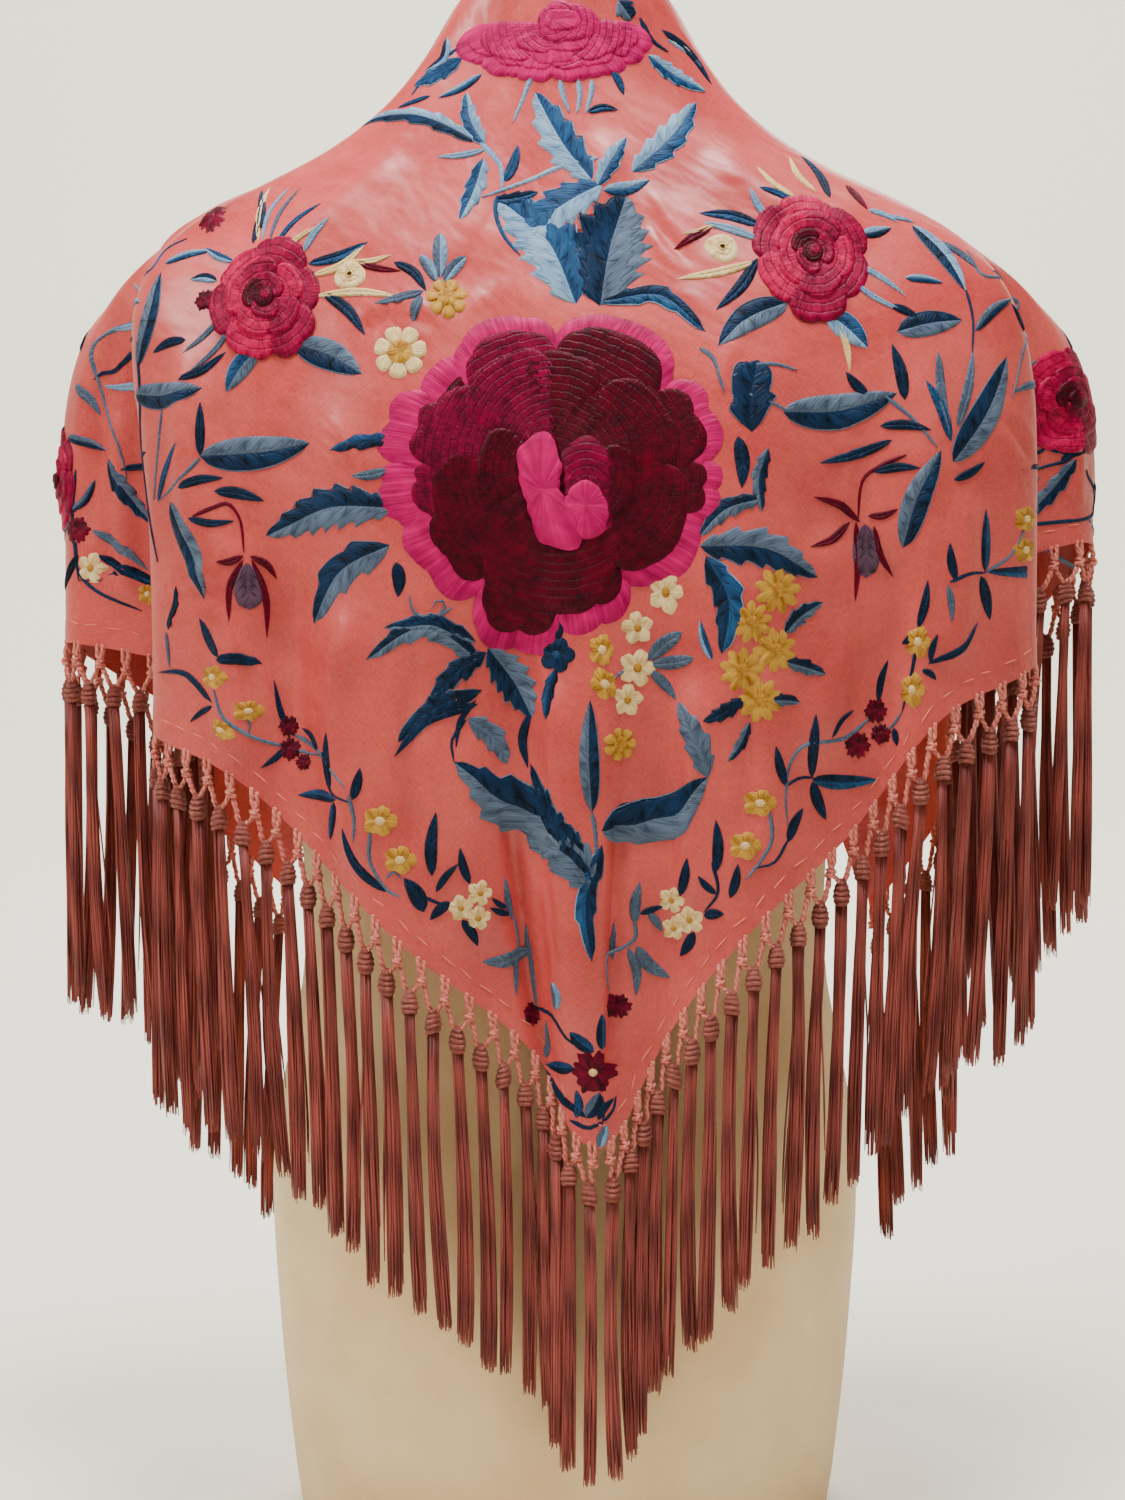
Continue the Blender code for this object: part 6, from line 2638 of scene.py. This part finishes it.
FRONT_SPRAY = Spray("front_garden", View.FRONT, leaves(
    (172, 590, 210, 632, 40, 0.06, "NS", 6), (150, 594, 128, 640, 34, -0.06, "NO", 5),
    (186, 556, 240, 560, 40, 0.08, "SN", 6), (184, 540, 226, 510, 34, -0.08, "ON", 5),
    (140, 530, 150, 486, 34, 0.05, "NS", 5), (168, 520, 190, 470, 40, 0.08, "SN", 6),
    (142, 574, 128, 604, 18, 0.05, "KO"), (164, 446, 172, 412, 24, 0.05, "NS", 4),
    (200, 452, 216, 420, 22, 0.05, "NN"), (196, 440, 178, 418, 20, 0.05, "ON"),
    (206, 668, 180, 700, 26, 0.08, "NO", 4), (180, 662, 150, 690, 24, -0.08, "SN", 4),
    (112, 690, 96, 722, 22, 0.05, "NO", 4), (120, 668, 138, 700, 18, 0.05, "KO"),
    (188, 392, 200, 364, 16, 0.0, "NN"), (190, 384, 178, 362, 14, 0.05, "NN"),
    (250, 520, 262, 498, 16, 0.0, "NN"), (244, 500, 228, 478, 14, 0.05, "SS"),
), stems(
    (7, "S", (206, 668), (180, 662), (150, 668), (120, 668), (104, 690)),
    (7, "S", (176, 500), (184, 460), (192, 420), (192, 384)), (6, "N", (226, 510), (246, 508), (262, 512)),
    (6, "S", (192, 384), (188, 364), (182, 350)),
), blossoms(
    (DAISY, 138, 656, 26, 0), (STAR, 152, 506, 17, 0), (STAR, 164, 478, 17, 20), (CREAM, 178, 400, 16, 0),
    (CREAM, 176, 376, 15, 30), (PANSY, 212, 470, 15, 0, 0.8), (CLARET, 206, 396, 13, 0),
    (CLARET, 198, 362, 11, 40), (PANSY, 178, 350, 13, 0, 0.8), (PANSY, 248, 534, 15, 0, 0.8),
    (BUD, 232, 596, 17, 0),
))
ARM_SPRAY = Spray("arm_garden", View.RIGHT, leaves(
    (20, 630, 44, 648, 22, 0.05, "NS", 4), (-6, 632, -26, 652, 20, -0.05, "NO", 4),
    (26, 590, 52, 570, 26, -0.05, "SN", 5), (4, 572, -4, 536, 26, 0.05, "NS", 5),
    (-16, 590, -40, 572, 22, 0.05, "NN", 3), (24, 560, 40, 520, 20, 0.05, "NN"),
    (10, 520, 26, 500, 16, 0.0, "NN"), (6, 520, -8, 498, 16, 0.0, "NO"),
), stems(
    (7, "N", (12, 566), (14, 540), (10, 506)), (6, "S", (14, 540), (34, 526), (56, 522)),
), blossoms(
    (PANSY, 34, 540, 14, 0, 0.8), (CREAM, -14, 548, 13, 0), (CLARET, 46, 506, 12, 0),
    (PANSY, -22, 520, 13, 0, 0.8),
))


@dataclass(frozen=True)
class RunningStitch:
    """The hand stitches that hold the turned hem."""

    length: float = 0.0085
    pitch: float = 0.0142
    width: float = 0.0009
    uneven: float = 0.0008

    def stitch(self, work: Needlework, line: Sequence[Vector]) -> None:
        """Lays the stitches along a line.

        Args:
            work: where they are gathered.
            line: the points that they follow.
        """
        chance = random.Random(9)
        lengths = [0.0]
        for low, high in zip(line, line[1:]):
            lengths.append(lengths[-1] + (high - low).length)
        places = list(range(len(line)))

        def at(length: float) -> Vector:
            """The point that far along."""
            return spline(line, float(np.interp(length, lengths, places)))

        start = 0.006
        while start + self.length < lengths[-1]:
            stop = start + self.length * chance.uniform(0.75, 1.15)
            across = work.chart.facing(at(start)).cross(at(stop) - at(start)).normalized()
            aside = across * chance.uniform(-self.uneven, self.uneven)
            work.ridge([at(start) - aside, at((start + stop) / 2), at(stop) + aside], self.width, "H", 0.0005, 0.9)
            start += self.pitch * chance.uniform(0.85, 1.2)


def embroider(chart: Chart, hem_line: Sequence[Vector]) -> list[bpy.types.Object]:
    """Stitches every motif and the hem.

    Args:
        chart: the outside of the cloth.
        hem_line: the line of the hem's stitches.

    Returns:
        The embroidery's pieces.
    """
    made = []
    sprays = (*SPRAYS, FRONT_SPRAY, FRONT_SPRAY.mirrored(View.FRONT), ARM_SPRAY, ARM_SPRAY.mirrored(View.LEFT))
    for motif in (*ROSES, *sprays):
        work = Needlework(chart)
        motif.stitch(work)
        made.append(work.build("embroidered_" + motif.name))
    work = Needlework(chart)
    RunningStitch().stitch(work, hem_line)
    made.append(work.build("hem_stitches"))
    for piece in made:
        log.info("%s: %d faces", piece.name, len(piece.data.polygons))
    return made


# ---- the whole scene ------------------------------------------------------------------------------
NET_SILK = FringeSilk("knotted_net_silk", paint(170, 76, 66), paint(228, 138, 124), 0.0036, 2.0, 0.0004, 0.6)
# The tassels' hanging threads are the net's silk in a much darker colour: painted shade for the shadow they hang
# in.
SHADED_TASSEL_SILK = FringeSilk("shaded_tassel_silk", paint(84, 30, 28), paint(170, 80, 72), 0.05, 1.0, 0.00008, 0.03)
TASSEL_MODELS = 6


def main() -> None:
    """Builds the stage, the form and the shawl in order."""
    logging.basicConfig(level=logging.INFO, format="%(message)s")
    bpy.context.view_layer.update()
    EFFECTS.build()
    stand = CameraStand()
    stand.build()
    studio = Studio()
    studio.build_floor(StudioPaper().build())
    studio.build_lights()
    form = DressForm()
    body = form.build(StretchJersey().build())
    log.info("form: %d faces", len(body.data.polygons))
    shawl = Shawl()
    cloth, chart, hem, seam = shawl.build(form, body, stand, SilkCrepe().build())
    log.info("cloth: %d faces", len(cloth.data.polygons))
    net_silk = NET_SILK.build()
    shaded_tassel_silk = SHADED_TASSEL_SILK.build()
    models = [Tassel().build(net_silk, shaded_tassel_silk, seed) for seed in range(TASSEL_MODELS)]
    skin = BVHTree.FromObject(body, bpy.context.evaluated_depsgraph_get())
    trims = []
    for side in Side:
        trims += Fringe(side).build(hem, models, skin, net_silk)
        log.info("%s: %d and %d faces", side.name, len(trims[-2].data.polygons), len(trims[-1].data.polygons))
    for model in models:
        bpy.data.objects.remove(model)
    trims += embroider(chart, seam)


if __name__ == "__main__":
    main()
